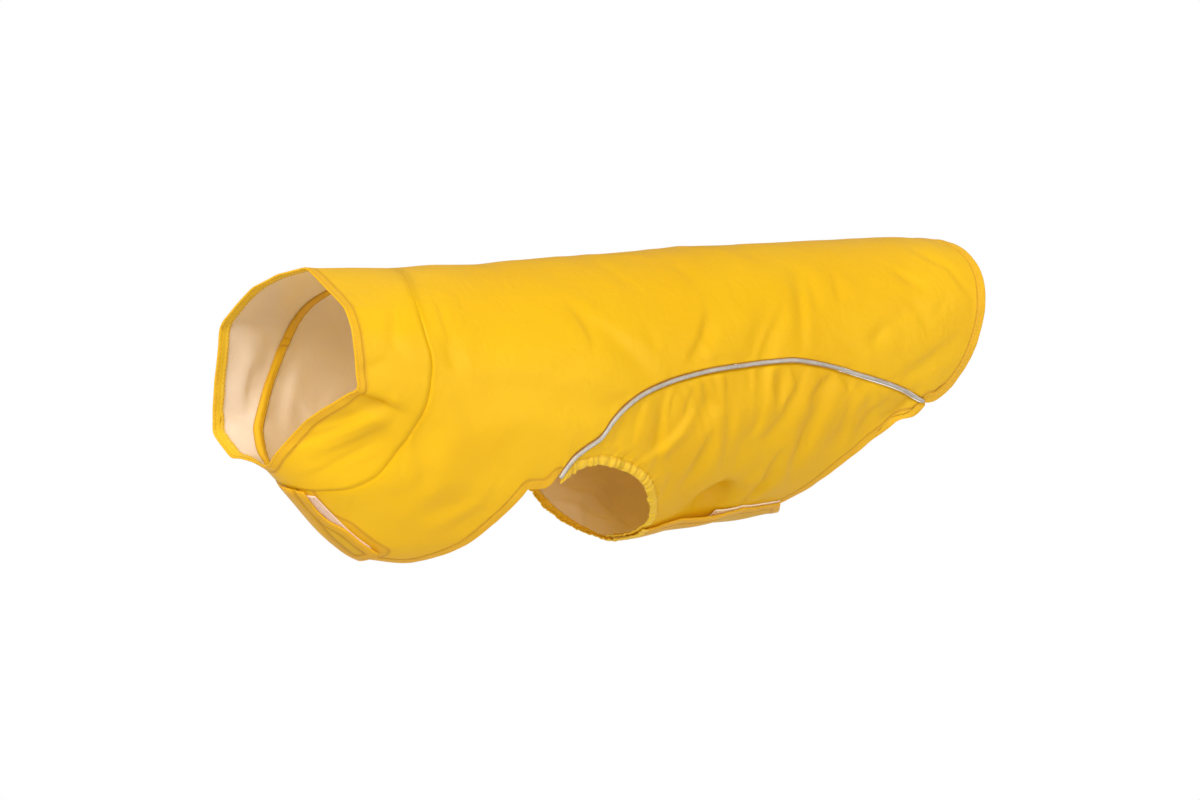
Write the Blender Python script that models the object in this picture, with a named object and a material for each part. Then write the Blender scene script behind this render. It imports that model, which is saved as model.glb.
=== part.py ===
"""Dog raincoat of coated nylon, filled out as it is worn, with no wearer inside.

The cloth is one smooth surface drawn through a fan of cross sections, from the
collar seam to the tail.  Every panel is a patch of that surface with a wall.
A place on the surface has two numbers: its station, the X in millimetres where
its section meets the back line, and its share, how far round the half girth it
lies, from 0 on the back line to 1 on the belly line.  Shares below 0 are on the
dog's left.  +X points to the tail, +Y to the dog's right, +Z up, and the origin
is on the inner face of the cloth over the withers.
"""
import math
import bpy
import numpy as np

MM = 0.001

# Driving sizes, in millimetres.
WALL = 1.2                # the nylon and its coating, as thick as it is built here
SEAM_GAP = 0.3            # between pieces that are sewn together
LAYER_GAP = 0.35          # between layers that lie on each other
HEM_EXTRA = 0.5           # a turned hem stands this much further out
PIPING_DIAMETER = 3.4
PIPING_PROUD = 0.8        # the cord's middle stands this far out of the cloth
SEAM_TAPE_WIDTH = 8.0
TAPE_THICKNESS = 1.0
LEG_BAND_WIDTH = 7.0
LEG_BAND_THICKNESS = 1.6
GATHER_HEIGHT = 1.0       # of the waves in the leg bands

# Laps and tapes, in cells of the left panel counted from the belly line.
CHEST_LAP = 1
CHEST_TAPE_SPANS = (0.06, 1.0, 1.9)
BELLY_LAP_CELLS = 3
BELLY_TAPE_SPANS = (0.1, 1.0, 2.0, 3.0, 3.35)
BELLY_TAPE_ROWS = slice(15, -1)
BAND_START = 0.5          # of a piping cell, from the piping's front end
BAND_START_GAP = 0.04     # of the band's front end, left open at the panel's corner

# How finely the panels are divided.
RING_CELLS = 18           # from the back line to the belly line
COLLAR_CELLS = 6
CLOSURE_CELLS = 5
CHEST_HEM_CELLS = 7
LEG_EDGE_CELLS = 2
PIPING_CELLS = 36
BELLY_CELLS = 14          # from the piping to the belly line
GATHER_STEPS = 4          # places in each wave
PIPING_SIDES = 8
RIDGE_LAG = 1.25          # above 1, the panel's rows meet the back line further forward
END_REACH = 3             # the power by which the shape of a patch's short ends fades
SHARP_ANGLE = 50.0        # degrees between two faces, above which their edge is sharp

# Cross sections.  Each lies in a plane through two points of the middle of the
# garment: (station, top_z) on the back and (bottom_x, bottom_z) on the belly.
SECTION_COLUMNS = ("station", "top_z", "bottom_x", "bottom_z", "half_width",
                   "widest", "top_power", "bottom_power")
SECTIONS = (
    (-115, 0.5, -210, -115, 75, 0.42, 2.0, 2.0),
    (-80, -1.2, -177, -140, 77, 0.42, 2.0, 1.9),
    (-69, -0.8, -166.5, -148.8, 78, 0.42, 2.0, 1.9),
    (-45, 0.3, -131, -185.5, 80, 0.42, 2.0, 1.8),
    (-25, 0.2, -103, -203.5, 81, 0.42, 2.0, 1.8),
    (0, 0, -62, -211, 82, 0.43, 2.0, 1.9),
    (35, 1.5, 5, -213, 82, 0.43, 2.0, 2.0),
    (75, 3.3, 70, -211, 81, 0.44, 2.0, 2.0),
    (118, 4.8, 118, -207, 80, 0.45, 2.0, 2.0),
    (200, 8, 200, -202, 79, 0.45, 2.0, 2.0),
    (292, 9.5, 292, -199, 77, 0.45, 2.0, 2.0),
    (380, 11, 380, -188, 74, 0.42, 2.1, 2.0),
    (440, 10.5, 440, -170, 71, 0.38, 2.3, 2.0),
    (475, 8, 475, -160, 69, 0.36, 2.4, 2.0),
)

# Lines on the cloth, each with its places in order.
LINE_COLUMNS = ("station", "share")
LEFT_COLLAR_SEAM = ((-78, 0.0), (-83, 0.09), (-88, 0.22), (-85, 0.29), (-75, 0.375),
                    (-65, 0.43), (-59, 0.49), (-56, 0.54), (-55, 0.60), (-55, 0.74),
                    (-58, 0.82), (-64, 0.90), (-70, 1.0))
RIGHT_COLLAR_SEAM = ((-78, 0.0), (-81, 0.10), (-83, 0.24), (-85, 0.32), (-81, 0.42),
                     (-78, 0.52), (-75, 0.67), (-74, 0.75), (-71, 0.84), (-70, 1.0))
CHEST_HEM = ((-29, 1.0), (-20, 0.967), (-10, 0.945), (-2, 0.90), (6, 0.845), (12, 0.77),
             (16, 0.722), (19.5, 0.68))
LEG_EDGE = ((19.5, 0.68), (27, 0.677), (36, 0.672))
PIPING_LINE = ((36, 0.672), (39.5, 0.627), (48, 0.592), (57, 0.565), (63, 0.53), (76, 0.49),
               (107, 0.456), (141, 0.441), (192, 0.436), (230, 0.435), (262, 0.449),
               (311, 0.496), (359, 0.558), (395, 0.63))
BACK_HEM = ((395, 0.63), (403, 0.643), (419, 0.632), (434, 0.594), (444, 0.545), (455, 0.44),
            (460, 0.365), (464, 0.29), (465, 0.175), (464, 0.085), (463, 0.0))
LEFT_LEG_LINE = ((44, 0.636), (57, 0.64), (69, 0.65), (85, 0.675), (103, 0.722), (114, 0.775),
                 (121, 0.82), (126, 0.87), (125, 0.93), (119, 1.0))
RIGHT_LEG_LINE = ((45, 0.638), (58, 0.65), (76, 0.695), (91, 0.76), (97, 0.825), (103, 0.875),
                  (109, 0.935), (119, 1.0))
LEFT_BELLY_HEM = ((384, 0.652), (366, 0.656), (351, 0.676), (337, 0.70), (324, 0.73),
                  (311, 0.76), (300, 0.793), (291, 0.825), (280, 0.86), (270, 0.90),
                  (266, 0.95), (265, 1.0))
RIGHT_BELLY_HEM = ((384, 0.652), (366, 0.656), (351, 0.676), (337, 0.70), (324, 0.73),
                   (312, 0.76), (301, 0.80), (287, 0.87), (265, 1.0))

# Corners of the collar's free edge: their share of the way round, and their places.
COLLAR_COLUMNS = ("share", "x", "y", "z")
COLLAR_EDGE = (
    (-1.00, -182, 0, -135),
    (-0.57, -161, -76, -77),
    (-0.43, -164, -75, -45),
    (-0.35, -165, -70, -27),
    (0.00, -151, 0, 2.5),
    (0.13, -158, 29, -5),
    (0.22, -163, 46, -13),
    (0.30, -168, 61, -25),
    (0.37, -174, 73, -40),
    (0.51, -177, 76, -81),
    (0.66, -180, 75, -116),
    (0.79, -180, 51, -132),
    (1.00, -182, 0, -135),
)
CORNER_SOFTNESS = 0.025   # share of the way round over which a corner is rounded
CORNER_SAMPLES = 7        # places across a corner whose mean rounds it

# The largest folds.  A depth below 0 is a hollow.  lean is the fold's angle
# above the X axis, in degrees, seen from the left.
FOLD_COLUMNS = ("side", "x", "z", "length", "width", "depth", "lean")
LEFT, RIGHT, BOTH = -1, 1, 0
FOLDS = (
    # Soft drags and creases over the back, the left side first.
    (LEFT, 35, -34, 80, 8, -1.2, -85),
    (LEFT, 78, -57, 125, 9, -1.6, -40),
    (LEFT, 145, -54, 65, 7, -1.8, 50),
    (LEFT, 204, -52, 80, 7, -1.4, 50),
    (LEFT, 214, -55, 80, 7, -1.8, 50),
    (LEFT, 253, -37, 80, 7, -1.6, 70),
    (LEFT, 272, -25, 40, 8, -0.9, 85),
    (LEFT, 330, -55, 60, 10, -1.2, 40),
    (LEFT, 383, -14, 40, 8, -1.5, -35),
    (LEFT, 398, -78, 155, 10, -2.2, 20),
    (LEFT, 439, -33, 60, 8, -1.2, -85),
    (LEFT, -4, -78, 175, 14, -1.6, -10),
    (RIGHT, 22, -45, 90, 9, -1.4, 65),
    (RIGHT, 70, -60, 110, 9, -1.5, -30),
    (RIGHT, 160, -50, 75, 8, -1.7, 60),
    (RIGHT, 222, -44, 80, 8, -1.6, 75),
    (RIGHT, 296, -52, 70, 9, -1.4, 35),
    (RIGHT, 402, -72, 140, 10, -2.0, 25),
    (RIGHT, 436, -40, 60, 8, -1.2, -80),
    (RIGHT, -20, -90, 150, 14, -1.5, -15),
    # The chest, below the collar seam and beside the leg openings.
    (LEFT, -109, -126, 70, 9, -1.6, -75),
    (LEFT, -90, -60, 30, 8, -1.0, -70),
    (LEFT, -46, -129, 80, 18, -2.0, -30),
    (RIGHT, -100, -118, 70, 9, -1.5, -70),
    (RIGHT, -40, -130, 85, 18, -2.0, -25),
    # Gathers that run down from the piping on the belly panels.
    (LEFT, 102, -120, 80, 6, -2.0, 90),
    (LEFT, 78, -113, 40, 6, -1.3, 75),
    (LEFT, 62, -117, 35, 6, -1.2, 70),
    (LEFT, 119, -133, 70, 6, 2.0, 40),
    (LEFT, 146, -144, 55, 7, -1.8, 70),
    (LEFT, 154, -175, 60, 7, -1.0, -45),
    (LEFT, 168, -131, 80, 7, -1.6, -80),
    (LEFT, 155, -99, 35, 7, -1.4, -45),
    (LEFT, 217, -95, 35, 6, -1.4, -80),
    (LEFT, 228, -112, 80, 7, -1.6, 50),
    (LEFT, 251, -135, 85, 7, -2.2, 85),
    (LEFT, 265, -96, 45, 7, -1.6, 45),
    (LEFT, 293, -97, 30, 6, -1.2, -50),
    (LEFT, 324, -102, 40, 6, -1.2, -35),
    (LEFT, 226, -165, 60, 8, -2.0, 70),
    (LEFT, 185, -173, 45, 12, -3.5, -45),
    (LEFT, 298, -137, 35, 10, -1.0, 85),
    (RIGHT, 96, -122, 75, 6, -1.9, 85),
    (RIGHT, 74, -115, 45, 6, -1.4, 70),
    (RIGHT, 122, -112, 50, 6, -1.5, -80),
    (RIGHT, 140, -140, 65, 7, 1.8, 45),
    (RIGHT, 172, -128, 75, 7, -1.7, -85),
    (RIGHT, 205, -104, 45, 6, -1.4, 80),
    (RIGHT, 236, -126, 85, 7, -2.0, 65),
    (RIGHT, 262, -140, 70, 7, -1.8, 80),
    (RIGHT, 284, -98, 35, 6, -1.3, -60),
    (RIGHT, 318, -104, 40, 6, -1.2, -40),
    (RIGHT, 214, -168, 60, 8, -1.8, 60),
    # The collar bends in from its lower corners to the seam.
    (LEFT, -137, -84, 75, 6, -3.0, -20),
    (LEFT, -152, -104, 60, 7, 2.0, 25),
    (LEFT, -136, -126, 50, 7, -1.4, 30),
    (LEFT, -132, -34, 35, 9, -1.0, 60),
    (RIGHT, -148, -64, 60, 12, -1.8, 75),
    (RIGHT, -162, -108, 45, 8, 1.5, -30),
)
FOLD_FADE = 14.0          # one-sided folds fade out this far from the middle
COLLAR_FOLD_FADE = 0.6    # of the collar's depth, over which its folds leave the seam

# Finish of each material: colour, roughness, metallic.
FINISHES = {
    "coated_nylon": ((1.0, 0.56, 0.02), 0.35, 0.0),
    "reflective_piping": ((0.62, 0.60, 0.57), 0.45, 0.3),
    "loop_tape": ((0.85, 0.66, 0.50), 0.9, 0.0),
    "elastic_casing": ((1.0, 0.58, 0.03), 0.4, 0.0),
}


# ---- Helpers -------------------------------------------------------------

def columns(names, rows):
    """A table as a dictionary of arrays, one for each named column."""
    return dict(zip(names, np.array(rows, float).T))


def smooth_column(x, xs, ys):
    """A cubic curve through the table's values that does not overshoot them."""
    step = np.diff(xs)
    slope = np.diff(ys) / step
    tangent = np.empty(len(xs))
    tangent[0], tangent[-1] = slope[0], slope[-1]
    mean = (step[1:] * slope[:-1] + step[:-1] * slope[1:]) / (step[1:] + step[:-1])
    tangent[1:-1] = np.where(slope[:-1] * slope[1:] <= 0, 0.0, mean)
    k = np.clip(np.searchsorted(xs, x) - 1, 0, len(step) - 1)
    t = (x - xs[k]) / step[k]
    return ((1 + 2 * t) * (1 - t) ** 2 * ys[k] + t * (1 - t) ** 2 * step[k] * tangent[k]
            + t * t * (3 - 2 * t) * ys[k + 1] + t * t * (t - 1) * step[k] * tangent[k + 1])


def smooth_step(x):
    t = np.clip(x, 0.0, 1.0)
    return t * t * (3 - 2 * t)


def unit(vectors):
    return vectors / np.linalg.norm(vectors, axis=-1, keepdims=True)


# ---- The cloth's surface -------------------------------------------------

SECTION = columns(SECTION_COLUMNS, SECTIONS)
SECTION_STEPS = 72        # steps round half a section when its girth is measured
FOLD = columns(FOLD_COLUMNS, FOLDS)


def section_value(name, station):
    return smooth_column(station, SECTION["station"], SECTION[name])


def half_section(station):
    """Round half of each station's section: how far down, how far out, and the girth."""
    widest = section_value("widest", station)[:, None]
    height = np.hypot(section_value("bottom_x", station) - station,
                      section_value("bottom_z", station) - section_value("top_z", station))
    turn = np.linspace(0, math.pi, SECTION_STEPS + 1)[None, :]
    power = np.where(turn <= math.pi / 2, section_value("top_power", station)[:, None],
                     section_value("bottom_power", station)[:, None])
    out = section_value("half_width", station)[:, None] * np.abs(np.sin(turn)) ** (2 / power)
    fall = np.abs(np.cos(turn)) ** (2 / power)
    down = np.where(turn <= math.pi / 2, widest * (1 - fall), widest + (1 - widest) * fall)
    steps = np.hypot(np.diff(down * height[:, None], axis=1), np.diff(out, axis=1))
    girth = np.concatenate([np.zeros((len(station), 1)), np.cumsum(steps, axis=1)], axis=1)
    return down, out, girth


def plain_cloth(station, share):
    """Points of the surface before any fold, in millimetres."""
    station, share = np.broadcast_arrays(np.asarray(station, float), np.asarray(share, float))
    shape = station.shape
    station = station.ravel()
    turn = (share.ravel() + 1) % 2 - 1
    down, out, girth = half_section(station)
    place = np.abs(turn) * girth[:, -1]
    row = np.arange(len(station))
    k = np.clip((girth <= place[:, None]).sum(axis=1) - 1, 0, SECTION_STEPS - 1)
    t = (place - girth[row, k]) / (girth[row, k + 1] - girth[row, k])
    down = down[row, k] * (1 - t) + down[row, k + 1] * t
    out = out[row, k] * (1 - t) + out[row, k + 1] * t
    top_z = section_value("top_z", station)
    x = station + (section_value("bottom_x", station) - station) * down
    z = top_z + (section_value("bottom_z", station) - top_z) * down
    return np.stack([x, np.where(turn < 0, -out, out), z], axis=-1).reshape(shape + (3,))


def surface_normals(surface, station, share, station_step=0.5, share_step=0.002):
    """Outward unit normals of a surface given as a function of station and share."""
    along = surface(station + station_step, share) - surface(station - station_step, share)
    round_ = surface(station, share + share_step) - surface(station, share - share_step)
    return unit(np.cross(along, round_))


def fold_height(points):
    """How far the folds lift the cloth outwards at these points."""
    x, y, z = points[..., 0], points[..., 1], points[..., 2]
    height = np.zeros(x.shape)
    for side, fx, fz, length, width, depth, lean in zip(*(FOLD[n] for n in FOLD_COLUMNS)):
        angle = math.radians(lean)
        along = (x - fx) * math.cos(angle) + (z - fz) * math.sin(angle)
        across = (z - fz) * math.cos(angle) - (x - fx) * math.sin(angle)
        reach = np.clip(1 - (2 * along / length) ** 2, 0, None) ** 2
        shown = 1.0 if side == BOTH else smooth_step(side * y / FOLD_FADE)
        height += depth * reach * np.exp(-(across / width) ** 2) * shown
    return height


def cloth(station, share):
    """Points in the middle of the cloth's thickness, folds and all."""
    points = plain_cloth(station, share)
    normals = surface_normals(plain_cloth, station, share)
    return points + normals * (fold_height(points)[..., None] + WALL / 2)


def cloth_normals(station, share):
    return surface_normals(cloth, station, share)


# ---- Lines and patches ---------------------------------------------------

HALF_GIRTH = 290.0        # a typical one, for measuring along lines
LINE_STEPS = 40           # fine steps along a line for each row of its table


def along_line(rows, cells):
    """cells + 1 evenly spaced places on a smooth line through the rows."""
    rows = np.array(rows, float)
    flat = rows * (1.0, HALF_GIRTH)
    reach = np.concatenate([[0], np.cumsum(np.hypot(*np.diff(flat, axis=0).T))])
    fine = np.linspace(0, reach[-1], LINE_STEPS * len(rows))
    curve = np.stack([smooth_column(fine, reach, flat[:, 0]),
                      smooth_column(fine, reach, flat[:, 1])], axis=1)
    walked = np.concatenate([[0], np.cumsum(np.hypot(*np.diff(curve, axis=0).T))])
    stops = np.linspace(0, walked[-1], cells + 1)
    places = np.stack([np.interp(stops, walked, curve[:, 0]),
                       np.interp(stops, walked, curve[:, 1])], axis=1)
    return places / (1.0, HALF_GIRTH)


def join(*lines):
    """Lines end to end, their shared places kept once."""
    return np.concatenate([lines[0]] + [piece[1:] for piece in lines[1:]])


def shifted(places, distance, side):
    """A line on this side moved along the cloth: one to the tail up, one down rearwards."""
    points = cloth(places[:, 0], side * places[:, 1])
    normals = cloth_normals(places[:, 0], side * places[:, 1])
    direction = unit(np.gradient(points, axis=0))
    target = np.cross(direction, normals) * distance * side
    step = 0.5
    by_station = (cloth(places[:, 0] + step, side * places[:, 1]) - points) / step
    by_share = (cloth(places[:, 0], side * (places[:, 1] + step / HALF_GIRTH)) - points) / step
    moved = places.copy()
    for k in range(len(places)):
        basis = np.stack([by_station[k], by_share[k]], axis=1)
        change = np.linalg.lstsq(basis, target[k], rcond=None)[0]
        moved[k] += change / (1.0, HALF_GIRTH)
    return moved


def patch(first, last, start, end, weights):
    """Places between two long lines that also keep to the two short ones."""
    t = np.linspace(0, 1, len(first))[:, None, None]
    w = np.asarray(weights)[None, :, None]
    first, last = first[:, None], last[:, None]
    start, end = start[None], end[None]
    between = (1 - w) * first + w * last
    at_start = start - (1 - w) * start[:, :1] - w * start[:, -1:]
    at_end = end - (1 - w) * end[:, :1] - w * end[:, -1:]
    return between + (1 - t) ** END_REACH * at_start + t ** END_REACH * at_end


# ---- Meshes --------------------------------------------------------------

def grid_cells(numbers, closed=False):
    """The four corners of every cell of a grid of point numbers."""
    if closed:
        numbers = np.concatenate([numbers, numbers[:, :1]], axis=1)
    a, b = numbers[:-1, :-1], numbers[1:, :-1]
    c, d = numbers[1:, 1:], numbers[:-1, 1:]
    return np.stack([a, b, c, d], axis=-1).reshape(-1, 4)


def wall_mesh(name, finish, points, normals, cells, out=WALL / 2, inward=WALL / 2):
    """A closed wall round the given points, with a rim along its free edges."""
    out = np.broadcast_to(out, len(points))[:, None]
    inward = np.broadcast_to(inward, len(points))[:, None]
    verts = np.concatenate([points + normals * out, points - normals * inward])
    total = len(points)
    faces = []
    edges = {}
    for a, b, c, d in cells:
        for edge in ((a, b), (b, c), (c, d), (d, a)):
            back = (edge[1], edge[0])
            if back in edges:
                del edges[back]
            else:
                edges[edge] = True
        # Each cell is split along its shorter diagonal.
        if np.linalg.norm(points[b] - points[d]) < np.linalg.norm(points[a] - points[c]):
            a, b, c, d = b, c, d, a
        faces += [(a, b, c), (a, c, d)]
        faces += [(c + total, b + total, a + total), (d + total, c + total, a + total)]
    for a, b in edges:
        faces += [(b, a, a + total), (b, a + total, b + total)]
    return add_object(name, finish, verts, faces)


def add_object(name, finish, verts, faces):
    """An object with this mesh, its faces turned outwards and its sides smooth."""
    verts = np.asarray(verts) * MM
    faces = np.asarray(faces)
    corners = verts[faces]
    volume = np.einsum("ij,ij->", corners[:, 0], np.cross(corners[:, 1], corners[:, 2]))
    if volume < 0:
        faces = faces[:, ::-1]
    used, numbers = np.unique(faces, return_inverse=True)
    mesh = bpy.data.meshes.new(name)
    mesh.from_pydata(verts[used].tolist(), [], numbers.reshape(-1, 3).tolist())
    mesh.materials.append(finish)
    mesh.shade_smooth()
    mesh.set_sharp_from_angle(angle=math.radians(SHARP_ANGLE))
    thing = bpy.data.objects.new(name, mesh)
    bpy.context.collection.objects.link(thing)
    return thing


def make_finish(name):
    colour, roughness, metallic = FINISHES[name]
    material = bpy.data.materials.new(name)
    material.use_nodes = True
    shader = material.node_tree.nodes["Principled BSDF"]
    shader.inputs["Base Color"].default_value = colour + (1.0,)
    shader.inputs["Roughness"].default_value = roughness
    shader.inputs["Metallic"].default_value = metallic
    material.diffuse_color = colour + (1.0,)
    return material


# ---- The collar and its seam ---------------------------------------------

def seam_station(share):
    left = columns(LINE_COLUMNS, LEFT_COLLAR_SEAM)
    right = columns(LINE_COLUMNS, RIGHT_COLLAR_SEAM)
    turn = (np.asarray(share, float) + 1) % 2 - 1
    return np.where(turn < 0, smooth_column(-turn, left["share"], left["station"]),
                    smooth_column(turn, right["share"], right["station"]))


def collar_edge(share):
    """Points on the collar's free edge, its corners a little rounded."""
    edge = columns(COLLAR_COLUMNS, COLLAR_EDGE)
    total = np.zeros(np.shape(share) + (3,))
    offsets = np.linspace(-CORNER_SOFTNESS, CORNER_SOFTNESS, CORNER_SAMPLES)
    for offset in offsets:
        turn = (share + offset + 1) % 2 - 1
        total += np.stack([np.interp(turn, edge["share"], edge[n]) for n in "xyz"], axis=-1)
    return total / len(offsets)


def plain_collar(depth, share):
    """The collar's wall before any fold, from 0 at the seam to 1 at the free edge."""
    depth = np.asarray(depth, float)[..., None]
    return cloth(seam_station(share), share) * (1 - depth) + collar_edge(share) * depth


def collar_side_normals(surface, depth, share, step=0.01):
    """Outward unit normals of a surface given by its depth in the collar and its share."""
    ahead = surface(np.clip(depth + step, 0, 1), share)
    behind = surface(np.clip(depth - step, 0, 1), share)
    round_ = surface(depth, share + step) - surface(depth, share - step)
    return unit(np.cross(behind - ahead, round_))


def collar_cloth(depth, share):
    """Points in the middle of the collar's wall, folds and all."""
    points = plain_collar(depth, share)
    lift = fold_height(points) * smooth_step(depth / COLLAR_FOLD_FADE)
    return points + collar_side_normals(plain_collar, depth, share) * lift[..., None]


def collar_normals(depth, share):
    return collar_side_normals(collar_cloth, depth, share)


def seam_ring(share):
    """The collar seam's points, and the normals that its two panels share there."""
    station = seam_station(share)
    points = cloth(station, share)
    collar_side = collar_normals(np.zeros(len(share)), share)
    return points, unit(cloth_normals(station, share) + collar_side)


def ring_shares():
    return np.arange(-RING_CELLS, RING_CELLS) / RING_CELLS


def build_collar(finish):
    share = ring_shares()
    depth = np.linspace(0, 1, COLLAR_CELLS + 1)
    grid_depth, grid_share = np.meshgrid(depth, share, indexing="ij")
    points = collar_cloth(grid_depth, grid_share)
    normals = collar_normals(grid_depth, grid_share)
    seam, seam_normals = seam_ring(share)
    points[0] = seam + unit(points[1] - seam) * SEAM_GAP / 2
    normals[0] = seam_normals
    out = np.full(grid_depth.shape, WALL / 2)
    out[-1] += HEM_EXTRA
    cells = grid_cells(np.arange(points[..., 0].size).reshape(grid_depth.shape), closed=True)
    wall_mesh("collar", finish, points.reshape(-1, 3), normals.reshape(-1, 3), cells,
              out.ravel())


def build_neck_seam_tape(finish):
    """Binding over the collar seam, on the inside."""
    share = ring_shares()
    points, normals = seam_ring(share)
    station = seam_station(share)
    half = SEAM_TAPE_WIDTH / 2
    depth = half / np.linalg.norm(collar_edge(share) - points, axis=-1)
    on_collar = collar_cloth(depth, share)
    stretch = np.linalg.norm(cloth(station + half, share) - points, axis=-1) / half
    on_body = cloth(station + half / stretch, share)
    collar_side, body_side = collar_normals(depth, share), cloth_normals(station, share)
    sink = WALL / 2 + LAYER_GAP + TAPE_THICKNESS / 2
    bend = np.sum(normals * collar_side, axis=-1, keepdims=True)
    rows = np.stack([on_collar - collar_side * sink, points - normals * sink / bend,
                     on_body - body_side * sink])
    lift = np.stack([collar_side, normals, body_side])
    cells = grid_cells(np.arange(rows[..., 0].size).reshape(rows.shape[:2]), closed=True)
    wall_mesh("neck_seam_tape", finish, rows.reshape(-1, 3), lift.reshape(-1, 3), cells,
              TAPE_THICKNESS / 2, TAPE_THICKNESS / 2)


# ---- The back panel ------------------------------------------------------

LAP_LIFT = WALL + 2 * LAYER_GAP + TAPE_THICKNESS   # the lapping side over the other
PIPING_ROOM = PIPING_DIAMETER / 2 + SEAM_GAP       # from the seam line to each panel


def panel_edge(side):
    """The back panel's lower edge: closure, chest hem, leg edge and piping seam."""
    start = LEFT_COLLAR_SEAM[-1]
    closure = along_line((start, CHEST_HEM[0]), CLOSURE_CELLS)
    hem = along_line(CHEST_HEM, CHEST_HEM_CELLS)
    seam = shifted(along_line(PIPING_LINE, PIPING_CELLS), PIPING_ROOM, side)
    leg = along_line(LEG_EDGE[:-1] + (tuple(seam[0]),), LEG_EDGE_CELLS)
    return join(closure, hem, leg, seam)


def back_half(side):
    """Places of half the back panel, in columns from the back line to its lower edge."""
    edge = panel_edge(side)
    share = np.arange(RING_CELLS + 1) / RING_CELLS
    front = np.stack([seam_station(side * share), share], axis=1)
    front[-1] = edge[0]
    rear = along_line(BACK_HEM[:0:-1] + (tuple(edge[-1]),), RING_CELLS)
    reach = ((edge[:, 0] - edge[0, 0]) / (edge[-1, 0] - edge[0, 0])) ** RIDGE_LAG
    ridge = np.stack([front[0, 0] + reach * (rear[0, 0] - front[0, 0]), np.zeros(len(edge))],
                     axis=1)
    return patch(ridge, edge, front, rear, share)


def back_side(side):
    """Points and normals of half the back panel, its front row along the collar seam."""
    places = back_half(side)
    station, share = places[..., 0], side * places[..., 1]
    points, normals = cloth(station, share), cloth_normals(station, share)
    seam, seam_normals = seam_ring(share[0])
    points[0] = seam + unit(points[1] - seam) * SEAM_GAP / 2
    normals[0] = seam_normals
    return points, normals


def between_columns(points, normals, span):
    """The line this many cells in from the last column, on the same flat facets."""
    k = int(span)
    t = span - k
    if t == 0:
        return points[:, -1 - k], normals[:, -1 - k]
    here = points[:, -1 - k] * (1 - t) + points[:, -2 - k] * t
    return here, unit(normals[:, -1 - k] * (1 - t) + normals[:, -2 - k] * t)


def lap_over(points, normals, spans):
    """Columns of a lap that lies over the other side, spaced in its cells."""
    lines = [between_columns(points, normals, span) for span in spans]
    lap = np.stack([p + n * LAP_LIFT for p, n in lines], axis=1)
    return lap, np.stack([n for _, n in lines], axis=1)


def build_back_panel(finish):
    left, left_normals = back_side(LEFT)
    right, right_normals = back_side(RIGHT)
    rows, cols = left.shape[:2]
    closed = slice(0, CLOSURE_CELLS + 1)
    # The right side rises over the left before it crosses the belly line.
    rise = np.zeros((rows, cols))
    rise[closed, -2] = LAP_LIFT / 2
    rise[closed, -1] = LAP_LIFT
    rise[CLOSURE_CELLS + 1, -1] = LAP_LIFT / 2
    right = right + right_normals * rise[..., None]
    lap, lap_normals = lap_over(left[closed], left_normals[closed], (CHEST_LAP,))

    left_numbers = np.arange(rows * cols).reshape(rows, cols)
    right_numbers = rows * cols + np.arange(rows * (cols - 1)).reshape(rows, cols - 1)
    right_numbers = np.concatenate([left_numbers[:, :1], right_numbers], axis=1)
    lap_numbers = right_numbers[-1, -1] + 1 + np.arange(len(lap))[:, None]
    lap_numbers = np.concatenate([right_numbers[closed, -1:], lap_numbers], axis=1)
    points = np.concatenate([left.reshape(-1, 3), right[:, 1:].reshape(-1, 3),
                             lap.reshape(-1, 3)])
    normals = np.concatenate([left_normals.reshape(-1, 3), right_normals[:, 1:].reshape(-1, 3),
                              lap_normals.reshape(-1, 3)])
    cells = np.concatenate([grid_cells(left_numbers)[:, ::-1], grid_cells(right_numbers),
                            grid_cells(lap_numbers)])
    out = np.full(len(points), WALL / 2)
    hem_rows = slice(CLOSURE_CELLS + 1, CLOSURE_CELLS + CHEST_HEM_CELLS + LEG_EDGE_CELLS)
    for numbers in (left_numbers, right_numbers):
        out[numbers[-1]] += HEM_EXTRA
        out[numbers[hem_rows, -1]] += HEM_EXTRA
    wall_mesh("back_panel", finish, points, normals, cells, out)
    return left[closed], left_normals[closed]


def build_loop_tape(name, finish, points, normals, spans):
    """Loop tape on the outside of a left panel, mostly under the right side's lap."""
    lines = [between_columns(points, normals, span) for span in spans]
    lift = WALL / 2 + LAYER_GAP + TAPE_THICKNESS / 2
    strip = np.stack([p + n * lift for p, n in lines], axis=1)
    ups = np.stack([n for _, n in lines], axis=1)
    cells = grid_cells(np.arange(strip[..., 0].size).reshape(strip.shape[:2]))
    wall_mesh(name, finish, strip.reshape(-1, 3), ups.reshape(-1, 3), cells,
              TAPE_THICKNESS / 2, TAPE_THICKNESS / 2)


# ---- Piping --------------------------------------------------------------

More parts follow.
